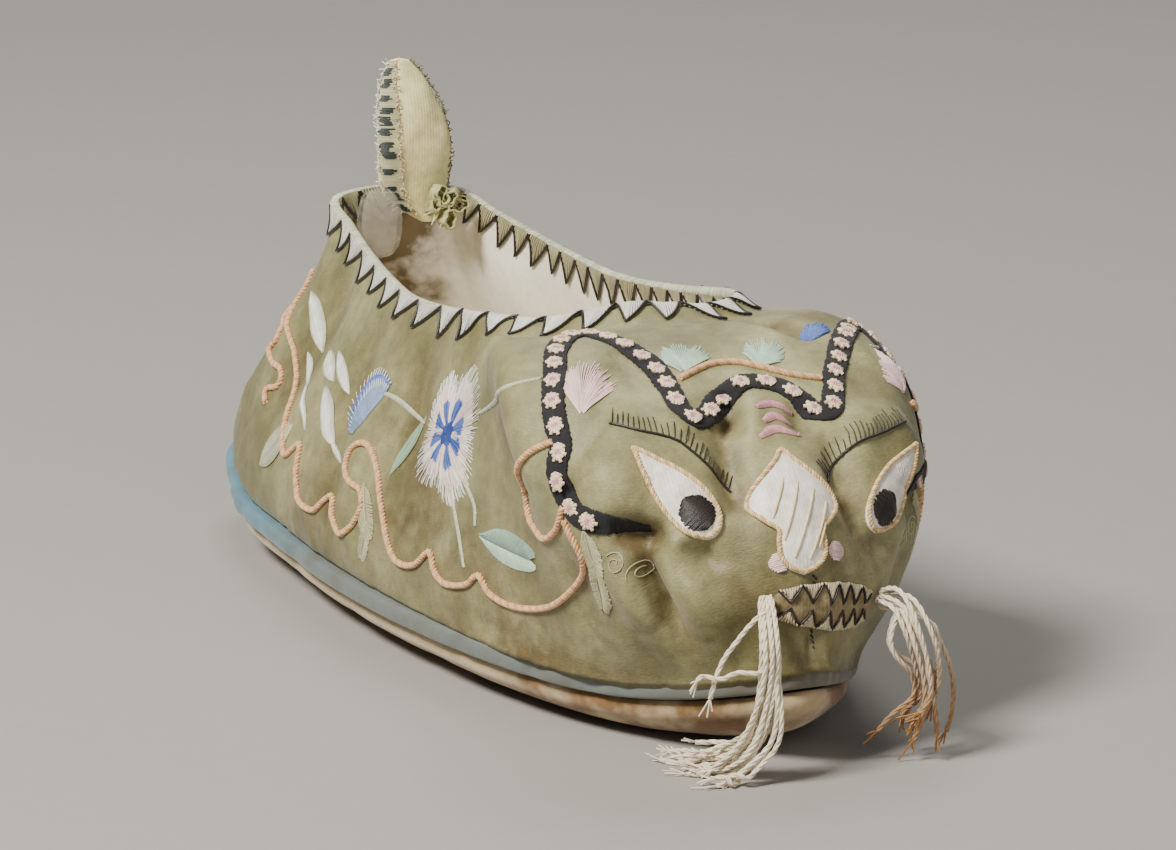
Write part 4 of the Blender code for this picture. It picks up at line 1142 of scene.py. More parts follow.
class SHOE_OT_sole(bpy.types.Operator):
    """Make the layered cotton sole, its blue silk edge and the cloth inside"""
    bl_idname = "tiger_shoe.sole"
    bl_label = "Sole"

    def execute(self, context):
        _, colours = shoe(context)
        profile = [[12.0, 0.0]] + smooth_path(SOLE_EDGE, 16).tolist() + [[3.0, OUTSOLE_TOP]]
        cotton = plain_cotton("sole cotton, layered", colours.cotton, colours.cotton_soil)

        def worn(stations, share):
            edge = math.sin(math.pi * share) ** 0.5
            return edge * ripple(stations, 3, 60, 0.012, -0.25, 0.16)

        sole, _, points = sole_layer("cotton_outsole", profile, cotton, 420, worn)
        along = points[:, 0]
        toe = ease((along - 84.0) / 32.0) * (1.0 - 0.6 * ease((along - 127.0) / 9.0))
        under = ease((2.6 - points[:, 2] + sole_rise(along)) / 1.8)
        write_attribute(sole.data, "soil_and_shade", np.clip(0.1 + 0.95 * toe + 0.6 * under, 0.0, 1.0))
        settle(sole, "cotton_sole", "outsole")

        def crinkled(stations, share):
            skew = stations + 0.004 * math.sin(5.0 * share)
            edge = math.sin(math.pi * min(max(share, 0.06), 0.94))
            return edge * ripple(skew, 4, 110, 0.009, -0.34, 0.04)

        low, high = OUTSOLE_TOP + GAP, MIDSOLE_TOP
        band = [(3.0, low)]
        for angle in np.linspace(-0.5 * math.pi, 0.5 * math.pi, 13):
            out = (PIPING + 0.2) * math.cos(angle) ** 0.4
            band.append((0.3 - out, 0.5 * (low + high + (high - low) * math.sin(angle))))
        band.append((3.0, high))
        edge, stations, points = sole_layer("blue_silk_edge", band, faded_blue_silk(colours), 720, crinkled)
        write_attribute(edge.data, "deep", 0.9 * ease((np.abs(stations) - 0.56) / 0.24))
        toe = ease((points[:, 0] - 118.0) / 18.0)
        write_attribute(edge.data, "soil_and_shade", 0.12 + 0.4 * toe)
        settle(edge, "blue_silk", "midsole")

        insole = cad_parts["insole"]
        insole.data.materials.clear()
        insole.data.materials.append(plain_cotton("insole cotton", colours.lining, colours.lining_stain_and_shade))
        return {"FINISHED"}


class SHOE_OT_upper(bpy.types.Operator):
    """Make the padded silk upper with its cotton lining"""
    bl_idname = "tiger_shoe.upper"
    bl_label = "Upper"

    def execute(self, context):
        _, colours = shoe(context)
        count, rows, inner_rows = 640, 100, 26
        stations = all_round(count)
        heights = np.concatenate([np.linspace(0.0, 1.0, rows), np.linspace(1.0, 0.0, inner_rows)])
        outside = (np.arange(len(heights)) < rows)[:, None]
        grid_s, grid_h = np.meshgrid(stations, heights)
        points, normal = frame_at(grid_s, grid_h)[:2]
        swell = relief(grid_s, points)
        # The silk is gathered along the sole, where it rolls under, and folds over at the rim
        gather = ripple(stations, 14, 130, 0.006, -0.22, 0.18) * np.exp(-((grid_h - 0.04) / 0.05) ** 2)
        roll = 0.5 * np.exp(-grid_h / 0.03) + 0.2 * np.exp(-(1.0 - grid_h) / 0.02)
        droop = np.exp(-(grid_s / 0.3) ** 2)
        hem = np.exp(-grid_h / 0.03) * outside
        flare = 1.6 * np.minimum(1.0, 3.0 * droop) * hem
        # The lining laps over the insole
        lap = 1.3 * np.exp(-(grid_h / 0.07) ** 2)
        lift = np.where(outside, swell + gather - roll + flare, swell - wall_at(grid_h) - lap)
        flat = points + normal * lift[..., None]
        flat[..., 2] -= (0.2 + 0.25 * droop) * hem
        steps = np.linalg.norm(np.diff(points, axis=0), axis=2)
        climb = np.vstack([np.zeros(count), np.cumsum(steps, axis=0)])
        uvs = np.stack([grid_s * 1.3 * SOLE_LENGTH, climb], -1)

        # Darker near the sole and at the stains. The folds add painted shade in their troughs and take a
        # little off their ridges, a painted highlight there.
        depth = folded(points)
        soil_and_shade = 0.05 + 0.45 * np.exp(-grid_h / 0.06) - 0.52 * np.clip(depth, -1.6, 0.35)
        for darkening in STAINS_AND_SHADE:
            spot = bare_point(darkening.station, darkening.height)
            soil_and_shade = soil_and_shade + 0.75 * darkening.strength * np.exp(-((points - spot) ** 2).sum(-1) / darkening.reach ** 2)
        # Painted shade, partly stain, on the lining at the back of the heel below the rim
        heel = ease((np.abs(grid_s) - 0.905) / 0.05) * ease((0.985 - grid_h) / 0.06)
        soil_and_shade = np.where(outside, np.clip(soil_and_shade, 0.0, 0.9), 0.95 * heel + 0.03)

        faces = ring_faces(len(heights), count, wrap=True)
        slots = np.ones(len(faces), int)
        slots[:(rows + 1) * count] = 0
        lining = plain_cotton("lining cotton", colours.lining, colours.lining_stain_and_shade)
        cloths = [silk_damask(colours), lining]
        upper = make_solid("silk_upper", to_scene(flat).reshape(-1, 3), faces, cloths, slots,
                           uvs.reshape(-1, 2) * MM, soil_and_shade.ravel())
        settle(upper, "green_silk", "upper")
        return {"FINISHED"}


def below_collar(stations, depth):
    """Chart places that lie depth below the collar."""
    up = frame_at(stations, np.full(np.shape(stations), 0.97))[3]
    return np.stack([stations, 1.0 - depth / np.linalg.norm(up, axis=-1)], -1)


def tooth_stitches(sizes, colours, inside):
    """One round of teeth, bent like fins: all lean to the heel from the far side of the throat."""
    if inside:
        edges = np.linspace(-1.0, 1.0, INSIDE_TEETH + 1)
    else:
        edges = np.array([-edge for edge in TOOTH_EDGES[:0:-1]] + list(TOOTH_EDGES))
    rng = default_rng(40 + inside)
    edges[1:-1] += rng.uniform(-0.004, 0.004, len(edges) - 2)
    middles, pitch = 0.5 * (edges[1:] + edges[:-1]), np.diff(edges)
    heel = ease((np.abs(middles) - 0.45) / 0.4)
    deep = 3.5 if inside else sizes.tooth_depth / MM * (0.76 + 0.24 * heel)
    deep = deep * rng.uniform(0.92, 1.06, len(pitch))
    flank = ease((np.abs(middles) - 0.12) / 0.12)
    lean = np.where(middles < 0.06, -1.0, 1.0) * pitch * (0.55 if inside else 0.3 + 0.18 * flank)
    fill = np.array(colours.floss_straw if inside else colours.floss_white) * (1.0 if inside else 0.92)

    def fin(sides, reach):
        share = reach * (1.0 - np.abs(sides))
        bend = share - 0.45 * share * (1.0 - share)
        stations = middles[:, None] + 0.49 * pitch[:, None] * sides + lean[:, None] * bend
        return below_collar(stations, 0.08 + deep[:, None] * share)

    sides = np.linspace(-0.97, 0.97, 11 if inside else 17)
    starts = below_collar(middles[:, None] + 0.49 * pitch[:, None] * sides, 0.05)
    charts = between(starts.reshape(-1, 2), fin(sides, 0.9).reshape(-1, 2), 6)
    fade = 0.8 * np.tile(np.abs(sides), len(pitch))[:, None] ** 2
    dyes = fill + (np.array(colours.floss_straw) - fill) * fade
    dyes = np.clip(dyes * rng.uniform(0.8, 1.05, (len(dyes), 1)), 0.0, 1.0)
    lifts = arch(6, 0.06, 0.18)
    lifts = -wall_at(charts[..., 1]) - lifts if inside else lifts
    threads = sewn(charts, lifts, 0.5 * sizes.floss_width / MM, dyes)
    # The black thread goes down to the tip of each tooth and up again
    outline = fin(np.linspace(-1.0, 1.0, 21), 1.0)
    lifts = -wall_at(outline[..., 1]) - 0.22 if inside else 0.24
    return threads + sewn(outline, lifts, (0.62 if inside else 0.5) * sizes.outline_width / MM,
                          shades(colours.floss_black, len(pitch), 0.3, 44))


def rim_stitches(colours):
    """Binding threads over the folded edge of the collar."""
    count = 620
    stations = all_round(count)
    rim, normal, _, up = frame_at(stations, np.ones(count))
    rim = rim + normal * relief(stations, rim)[:, None]
    wraps = []
    for angle in np.linspace(-0.1 * math.pi, 1.1 * math.pi, 6):
        out = 0.5 * RIM_WALL * (math.cos(angle) - 1.0) + 0.06 * math.cos(angle)
        wraps.append(rim + normal * out + unit(up) * (0.1 * math.sin(angle)))
    dyes = shades(colours.floss_sage, count, 0.25, 3)
    return [Thread(p, 0.13, c) for p, c in zip(to_scene(np.stack(wraps, 1)), dyes)]


class SHOE_OT_topline(bpy.types.Operator):
    """Sew the white satin teeth and their black outlines round the collar"""
    bl_idname = "tiger_shoe.topline"
    bl_label = "Topline"

    def execute(self, context):
        sizes, colours = shoe(context)
        threads = tooth_stitches(sizes, colours, False) + tooth_stitches(sizes, colours, True)
        threads += rim_stitches(colours)
        settle(make_threads("collar_teeth", threads), "white_satin", "topline_edging")
        return {"FINISHED"}


def ribbon_flowers(sizes, colours):
    """Cream flowers with rose centres, spaced along the ribbon."""
    threads = []
    petals = 13
    for k in range(petals):
        angle = TURN * k / petals
        uneven = 0.86 + 0.14 * math.sin(2.9 * k)
        reach = np.array((1.15 * math.cos(angle), 0.95 * math.sin(angle), 0.0)) * uneven
        line = np.array([reach * 0.3 + (0, 0, 0.06), reach * 0.7 + (0, 0, 0.1), reach + (0, 0, -0.02)])
        dye = shades(colours.floss_pink if k % 3 == 0 else colours.cream, 1, 0.1, 60 + k)[0]
        threads.append(Thread(line * MM, 0.22, dye))
    for across in (-0.26, 0.0, 0.26):
        line = np.array([(-0.36, across, 0.12), (0.0, across, 0.2), (0.36, across, 0.12)])
        threads.append(Thread(line * MM, 0.16, colours.floss_rose))
    motif = make_threads("ribbon_flower", threads)

    path = chart_path(RIBBON_ROUTE, sizes.flower_step / MM)[2:-1]
    point, normal = frame_at(*path.T)[:2]
    run = np.gradient(point, axis=0)
    places = on_silk(path, 0.58 * RIBBON_THICK)
    mesh = bpy.data.meshes.new("flower_places")
    mesh.from_pydata(places.tolist(), [], [])
    turns = []
    for out, ahead in zip(normal, run):
        out = Vector(out).normalized()
        ahead = (Vector(ahead) - out * out.dot(Vector(ahead))).normalized()
        turns.append(Matrix((ahead, out.cross(ahead), out)).transposed().to_euler())
    write_attribute(mesh, "turn", turns, "FLOAT_VECTOR")
    tree = tree_named("Motifs on points", motif_tree)
    flowers = grow("ribbon_flowers", mesh, tree, {"Motif": motif, "Material": silk_floss()})
    bpy.data.objects.remove(motif)
    return flowers


class SHOE_OT_face_ribbon(bpy.types.Operator):
    """Lay the black flowered ribbon round the ears and the crown"""
    bl_idname = "tiger_shoe.face_ribbon"
    bl_label = "Face ribbon"

    def execute(self, context):
        sizes, colours = shoe(context)
        path = chart_path(RIBBON_ROUTE, 0.22)
        point, normal, along, up = frame_at(*path.T)
        side = unit(np.cross(normal, np.gradient(point, axis=0)))
        taper = 0.35 + 0.65 * ease(np.arange(len(path)) / 26.0)
        ragged = taper * (1.0 + default_rng(23).uniform(-0.08, 0.08, (2, len(path))))
        rings = []
        for across, thick in RIBBON_PROFILE:
            wide = across * RIBBON_WIDTH * ragged[int(across > 0.0)]
            edge = path + surface_step(along, up, side * wide[:, None])
            rings.append(on_silk(edge, thick * RIBBON_THICK))
        points = np.stack(rings, 1)
        sections, around = points.shape[:2]
        faces = ring_faces(sections, around)
        faces += [tuple(range(around))[::-1], tuple(range((sections - 1) * around, sections * around))]
        faces = [face[::-1] for face in faces]
        ground = woven_silk("black ribbon, woven", colours.ribbon, linear("#18171B"), 0.85)
        ribbon = make_solid("ribbon_ground", points.reshape(-1, 3), faces, [ground])
        woven = join("face_ribbon_woven", [ribbon, ribbon_flowers(sizes, colours)])
        settle(woven, "black_ribbon", "face_ribbon")
        return {"FINISHED"}


def patch_axes(place, upwards):
    """Directions in the tangent plane at a place: along upwards, and across."""
    normal = frame_at(*place)[1]
    first = unit(upwards - normal * (upwards @ normal))
    return first, np.cross(normal, first)


def leaf_axes(foot, tip):
    """Middle of two places, the directions along and across between them, and half their distance."""
    middle = (0.5 * (foot[0] + tip[0]), 0.5 * (foot[1] + tip[1]))
    ends = bare_point(*np.array([foot, tip]).T)
    return middle, patch_axes(middle, ends[1] - ends[0]), 0.5 * np.linalg.norm(ends[1] - ends[0])


def sewn_patch(name, place, axes, outline, material, crown):
    """Padded patch cut to an outline of (along, across) points, with its back on the silk."""
    outline = closed_path(outline, 97)[:-1]
    steps = [(0.5, 0.02), (1.0, 0.02)]
    for share in np.linspace(1.0, 0.1, 9):
        steps.append((share, 0.22 + crown * (1.0 - share ** 2)))
    rings = [on_silk(chart_at(place, axes, *(outline * share).T), lift) for share, lift in steps]
    points = np.vstack(rings + [rings[0].mean(0)[None], rings[-1].mean(0)[None]])
    faces = ring_faces(len(rings), len(outline)) + cone_caps(len(rings), len(outline))
    area = np.sum(outline[:, 0] * np.roll(outline[:, 1], -1) - np.roll(outline[:, 0], -1) * outline[:, 1])
    return make_solid(name, points, faces if area > 0.0 else [face[::-1] for face in faces], [material])


def outline_cord(name, place, axes, outline, share, sizes, material):
    """Twisted cord round a patch's outline."""
    outline = closed_path(outline, 121) * share
    points = on_silk(chart_at(place, axes, *outline.T), 0.3)
    return make_cord(name, [points], sizes.edge_cord_width, 0.8 * sizes.cord_lay, material, 0.15 * MM)


def sew_eye(name, tip, foot, silk, cord, sizes, colours):
    """White teardrop with a dark pupil, edged with couched cord."""
    place, axes, _ = leaf_axes(foot, tip)
    angles = np.linspace(0.0, TURN, 48, endpoint=False)
    across = np.sin(angles) * np.sin(angles / 2.0) ** 1.2
    outline = np.column_stack([0.5 * EYE_LENGTH * np.cos(angles), 0.5 * EYE_WIDTH * across])
    patch = sewn_patch(name + "_patch", place, axes, outline, silk, 0.3)
    edge = outline_cord(name + "_edge", place, axes, outline, 0.95, sizes, cord)
    rows = np.linspace(-0.97, 0.97, 42)
    ragged = default_rng(21).uniform(0.88, 1.08, (2, len(rows)))
    half = np.sqrt(1.0 - rows ** 2) * 1.75
    along = -0.265 * EYE_LENGTH + rows * 1.95
    threads = stitches(place, axes, np.column_stack([along, -half * ragged[0]]),
                       np.column_stack([along, half * ragged[1]]), 0.34 + arch(5, 0.0, 0.24), 0.12,
                       shades(colours.pupil, len(rows), 0.4, 22))
    pupil = make_threads(name + "_pupil", threads)
    settle(join(name + "_sewn", [patch, edge, pupil]), "white_silk", name)


def sew_nose(silk, cord, sizes, colours):
    """White ogee ribbed with fine satin and slanting cream threads, edged with couched cord."""
    place, axes, _ = leaf_axes(*reversed(NOSE))
    side = [((row.along - 0.5) * NOSE_LENGTH, row.half_width * NOSE_LENGTH) for row in NOSE_OUTLINE]
    foot, top = (-0.5 * NOSE_LENGTH, 0.0), (0.5 * NOSE_LENGTH, 0.0)
    outline = np.array([foot] + side + [top] + [(a, -b) for a, b in reversed(side)])
    patch = sewn_patch("nose_patch", place, axes, outline, silk, 0.3)
    edge = outline_cord("nose_edge", place, axes, outline, 0.96, sizes, cord)
    starts = np.array(((3.0, 0.9), (2.6, -0.6), (1.8, -2.2), (0.4, -3.4), (-1.6, -2.8)))
    ends = np.array(((-1.2, 2.8), (-3.6, 1.9), (-5.4, 1.0), (-5.6, -0.6), (-4.6, -1.6)))
    threads = stitches(place, axes, starts, ends, 0.34 + arch(7, 0.0, 0.26), 0.15,
                       shades(colours.cream, len(starts), 0.05, 31))
    lines = make_threads("nose_lines", threads)
    settle(join("nose_sewn", [patch, edge, lines]), "white_silk", "nose")


def sew_mouth(colours):
    """Two rows of cream teeth, point to point, with black zigzag thread."""
    axes = patch_axes(MOUTH_PLACE, np.array((0.0, 0.2, 1.0)))
    angles = np.linspace(0.0, TURN, 40, endpoint=False)
    rounded = np.sign(np.cos(angles)) * np.abs(np.cos(angles)) ** 0.75
    outline = np.column_stack([0.5 * MOUTH_WIDTH * rounded, 0.5 * MOUTH_LENGTH * np.sin(angles)])
    patch = sewn_patch("mouth_patch", MOUTH_PLACE, axes, outline,
                       woven_silk("mouth silk", linear("#978661"), colours.soil_and_shade, 0.6), 0.06)
    rng = default_rng(42)
    count = 8
    threads = []
    for row in (1.0, -1.0):
        edges = np.linspace(-0.46, 0.46, MOUTH_TEETH + 1) * MOUTH_LENGTH
        edges += rng.uniform(-0.15, 0.15, len(edges))
        rims = row * 0.5 * MOUTH_WIDTH * (1.0 - (2.0 * edges / MOUTH_LENGTH) ** 2 * 0.9) ** 0.38
        tips = np.column_stack([rng.uniform(0.15, 0.35, MOUTH_TEETH) * row, 0.5 * (edges[1:] + edges[:-1])])
        corners = np.column_stack([rims * 1.02, edges])
        for left, right, tip in zip(corners, corners[1:], tips):
            starts = left + (right - left) * np.linspace(0.08, 0.92, count)[:, None]
            reach = 0.78 * (1.0 - np.abs(np.linspace(-0.9, 0.9, count)))[:, None]
            threads += stitches(MOUTH_PLACE, axes, starts, starts + (tip - starts) * reach,
                                0.22 + arch(4, 0.0, 0.16), 0.14, shades(linear("#C4B796"), count, 0.15, 43))
        zigzag = np.empty((2 * MOUTH_TEETH + 1, 2))
        zigzag[0::2], zigzag[1::2] = corners, tips
        threads += stitches(MOUTH_PLACE, axes, zigzag[:-1], zigzag[1:], 0.3 + arch(5, 0.0, 0.14), 0.12,
                            shades(colours.floss_black, 2 * MOUTH_TEETH, 0.3, 41))
    settle(join("mouth_sewn", [patch, make_threads("mouth_teeth", threads)]), "white_silk", "mouth")


class SHOE_OT_face(bpy.types.Operator):
    """Sew on the eyes, the nose and the mouth"""
    bl_idname = "tiger_shoe.face"
    bl_label = "Face"

    def execute(self, context):
        sizes, colours = shoe(context)
        silk = woven_silk("white patch silk", colours.patch, linear("#D5CCBC"), 0.5)
        cord = twisted_thread("gold and cream couched cord", colours.cream, colours.gold, colours.soil_and_shade)
        for name, (tip, foot) in EYES.items():
            sew_eye(name, tip, foot, silk, cord, sizes, colours)
        sew_nose(silk, cord, sizes, colours)
        sew_mouth(colours)
        return {"FINISHED"}


def couch(name, routes, sizes, material):
    """Cord laid on the silk along each route."""
    lines = [on_silk(chart_path(route, 0.4), 0.2) for route in routes]
    settle(make_cord(name, lines, sizes.cord_width, sizes.cord_lay, material, 0.22 * MM), "green_silk")


def flower_stitches(side, colours):
    """Petals of radial stitches: pink and white with blue stripes, a deep blue heart and a white fringe."""
    place = (side * FLOWER_PLACE[0], FLOWER_PLACE[1])
    axes = axes_at(place)
    rng = default_rng(11)
    white, pink = np.array(colours.floss_white), np.array(colours.floss_pink)
    blue, deep = np.array(colours.floss_blue), np.array(colours.floss_blue_deep)
    threads = []
    for petal in PETALS:
        count = int(0.9 * petal.half * petal.reach / 6.0)
        turn = np.linspace(-1.0, 1.0, count) + rng.uniform(-0.02, 0.02, count)
        angles = np.radians(petal.aim + petal.half * turn)
        ray = np.column_stack([np.cos(angles), np.sin(angles)])
        ray *= petal.reach * (1.0 - 0.3 * np.abs(turn[:, None]) ** 2.5)
        pale = np.where((rng.uniform(0.0, 1.0, count) < 0.5)[:, None], pink, white)
        stripe = (np.abs(np.abs(turn) - 0.46) < 0.3)[:, None]
        core = np.where(stripe, np.where((rng.uniform(0.0, 1.0, count) < 0.3)[:, None], deep, blue), pale)
        every = np.arange(count)
        parts = ((every, 0.5, 1.0, pale, 0.15, 0.13), (every, 0.18, 0.78, core, 0.22, 0.12),
                 (every[::2], 0.02, 0.26, np.tile(deep, (count, 1)), 0.24, 0.12),
                 (every, 0.9, 1.26, np.tile(white, (count, 1)), 0.1, HAIR))
        for rows, low, high, dyes, lift, radius in parts:
            lows, highs = rng.uniform(-0.06, 0.06, (2, len(rows), 1)) + np.array((low, high))[:, None, None]
            tones = np.clip(dyes[rows] * rng.uniform(0.9, 1.06, (len(rows), 1)), 0.0, 1.0)
            shift = rng.uniform(-0.25, 0.25, (len(rows), 2)) * (radius == HAIR)
            threads += stitches(place, axes, ray[rows] * lows, ray[rows] * highs + shift,
                                arch(4, 0.02, lift), radius, tones)
    return threads


def bud_stitches(side, colours):
    """Bud: a grey blue body, and a blue rim crossed by white hairs."""
    place = (side * BUD_PLACE[0], BUD_PLACE[1])
    axes = axes_at(place)
    count = 40
    rim = smooth_path(((-1.6, -3.8), (-4.4, -1.6), (-4.3, 1.2), (-2.2, 3.2), (1.2, 3.9), (4.6, 3.3)), count)
    foot = np.column_stack([np.linspace(0.6, 4.4, count), np.linspace(-3.8, 1.8, count)])
    way = rim - foot
    threads = stitches(place, axes, foot, foot + 0.86 * way, arch(6, 0.02, 0.18), 0.13,
                       shades(colours.floss_blue_grey, count, 0.14, 5))
    threads += stitches(place, axes, foot + 0.74 * way, rim, arch(4, 0.06, 0.22), 0.13,
                        shades(colours.floss_blue, count, 0.18, 6))
    some = slice(1, None, 2)
    threads += stitches(place, axes, (foot + 0.4 * way)[some], (foot + 1.16 * way)[some],
                        arch(5, 0.12, 0.28), HAIR, shades(colours.floss_white, count // 2, 0.06, 8))
    return threads


def leaf_stitches(side, colours):
    """Spindles of long stitches, feathers, a veined mint leaf and the stems."""
    threads = []
    for leaf in FLANK_LEAVES:
        middle, axes, reach = leaf_axes(*on_flank(side, leaf[:2]))
        count = max(4, int(leaf.width / STITCH_STEP))
        across = np.linspace(-0.5, 0.5, count)[:, None] * leaf.width
        u = np.linspace(-1.0, 1.0, 9)[None, :]
        chart = chart_at(middle, axes, np.broadcast_to(u * reach, (count, 9)), across * (1.0 - u ** 2) ** 0.9)
        dyes = shades(getattr(colours, leaf.colour), count, 0.26, 33)
        dyes += (np.array(colours.silk_worn) - dyes) * 0.6 * np.abs(2.0 * across / leaf.width) ** 3
        threads += sewn(chart, arch(9, 0.0, 0.13), 0.1, dyes)
    for number, leaf in enumerate((*FEATHERS, MINT_LEAF)):
        rng = default_rng(51 + number)
        middle, axes, reach = leaf_axes(*on_flank(side, leaf[:2]))
        ragged = 0.05 if leaf is MINT_LEAF else 0.16
        shares = np.linspace(-0.98, 0.96, int(10.0 * reach))
        dye = np.array(getattr(colours, leaf.colour))
        for half, tone in ((1.0, 0.85), (-1.0, 1.05)):
            wide = half * 0.5 * leaf.width * np.sqrt(1.0 - shares ** 2)
            wide *= 1.0 - rng.uniform(0.0, ragged, len(shares))
            starts = np.column_stack([(shares - 0.1) * reach, np.full(len(shares), 0.1 * half)])
            ends = np.column_stack([np.clip(shares + 0.16, -1.0, 1.05) * reach, wide])
            threads += stitches(middle, axes, starts, ends, arch(4, 0.02, 0.16), 0.11,
                                shades(tone * dye, len(shares), 0.08, 52))
        vein = 0.35 if leaf is MINT_LEAF else 0.9
        threads += stitches(middle, axes, [(-1.1 * reach, 0.0)], [(0.9 * reach, 0.0)], arch(9, 0.1, 0.16),
                            0.12, [vein * dye])
    for number, stem in enumerate(STEMS):
        threads += satin_bar(on_flank(side, stem), 0.5, colours.floss_sage, 70 + number, 0.9)
    return threads


def fan_stitches(colours):
    """Fans of straight stitches on the ears and the vamp."""
    threads = []
    for number, fan in enumerate(FANS):
        rng = default_rng(90 + number)
        edge = smooth_path(fan.edge, 60)
        root = np.array(fan.root)
        ends = root + (edge - root) * rng.uniform(0.84, 1.06, (len(edge), 1))
        dyes = shades(getattr(colours, fan.colour), len(edge), 0.1, 95 + number)
        threads += sewn(between(root + 0.06 * (edge - root), ends, 6), arch(6, 0.03, 0.15), 0.08, dyes)
    return threads


def brow_stitches(colours):
    """Black brow lines with short hairs above them."""
    threads = []
    for number, route in enumerate(BROWS):
        path = chart_path(route, 0.3)
        threads.append(Thread(on_silk(path, 0.12), 0.16, colours.floss_black))
        hairs = path[1:-1:2]
        point, normal, along, up = frame_at(*hairs.T)
        run = unit(np.gradient(point, axis=0))
        above = np.cross(normal, run)
        above *= np.sign((above * up).sum(1, keepdims=True))
        lengths = default_rng(17 + number).uniform(1.2, 2.3, (len(hairs), 1))
        shift = surface_step(along, up, (above - 0.45 * run) * lengths)
        threads += sewn(between(hairs, hairs + shift, 4), arch(4, 0.04, 0.14), 0.06,
                        shades(colours.floss_black, len(hairs), 0.3, 18))
    return threads


def forehead_stitches(colours):
    """Three arched pink stripes on the brow, and a pink spot on each side of the nose."""
    threads = []
    stripes = ((0.012, 0.603, 0.013), (0.01, 0.573, 0.01), (0.007, 0.543, 0.014))
    for number, (middle, height, half) in enumerate(stripes):
        route = ((middle - half, height - 0.01), (middle, height + 0.004), (middle + half, height - 0.01))
        threads += satin_bar(route, 1.0, colours.floss_rose, 110 + number)
    for station, height in ((-0.028, 0.268), (0.027, 0.278)):
        route = ((station, height + 0.018), (station, height), (station, height - 0.018))
        threads += satin_bar(route, 2.3, colours.floss_pink, 116)
    return threads


def seam_stitches(colours):
    """Black stitches down the seam of the toe."""
    heights = np.concatenate([np.linspace(0.232, 0.204, 3), np.linspace(0.104, 0.03, 6)])
    starts = np.column_stack([np.full(len(heights), 0.001), heights])
    ends = np.column_stack([np.full(len(heights), 0.005), heights - 0.01])
    dyes = shades(colours.floss_black, len(heights), 0.2, 9)
    return sewn(between(starts, ends, 4), arch(4, 0.0, 0.18), 0.11, dyes)


def curl_stitches(colours):
    """Thin straw curls on the cheeks."""
    threads = []
    turn = np.linspace(0.0, 1.4 * TURN, 34)
    reach = 0.3 + 0.9 * turn / turn[-1]
    for side in (-1.0, 1.0):
        for number, (station, height) in enumerate(CURLS):
            place = (side * station, height)
            angles = turn + number
            chart = chart_at(place, axes_at(place), reach * np.cos(angles), reach * np.sin(angles))
            threads.append(Thread(on_silk(chart, 0.06), 0.065, colours.floss_straw))
    return threads


class SHOE_OT_embroidery(bpy.types.Operator):
    """Embroider the flanks, the brows and the vamp"""
    bl_idname = "tiger_shoe.embroidery"
    bl_label = "Embroidery"

    def execute(self, context):
        sizes, colours = shoe(context)
        peach = twisted_thread("peach couched cord", colours.cord, colours.cord_pale, colours.soil_and_shade)
        for name, side in (("right", -1.0), ("left", 1.0)):
            threads = flower_stitches(side, colours) + bud_stitches(side, colours)
            threads += leaf_stitches(side, colours)
            settle(make_threads("flank_floss_" + name, threads), "green_silk")
            routes = [on_flank(side, route) for route in (SCROLL_ROUTE, LOOP_ROUTE, HEEL_ROUTE)]
            couch("scroll_cord_" + name, routes, sizes, peach)
        couch("crown_cord", [CROWN_ROUTE], sizes, peach)
        threads = []
        for sew in (brow_stitches, forehead_stitches, seam_stitches, curl_stitches, fan_stitches):
            threads += sew(colours)
        settle(make_threads("face_floss", threads), "green_silk")
        return {"FINISHED"}


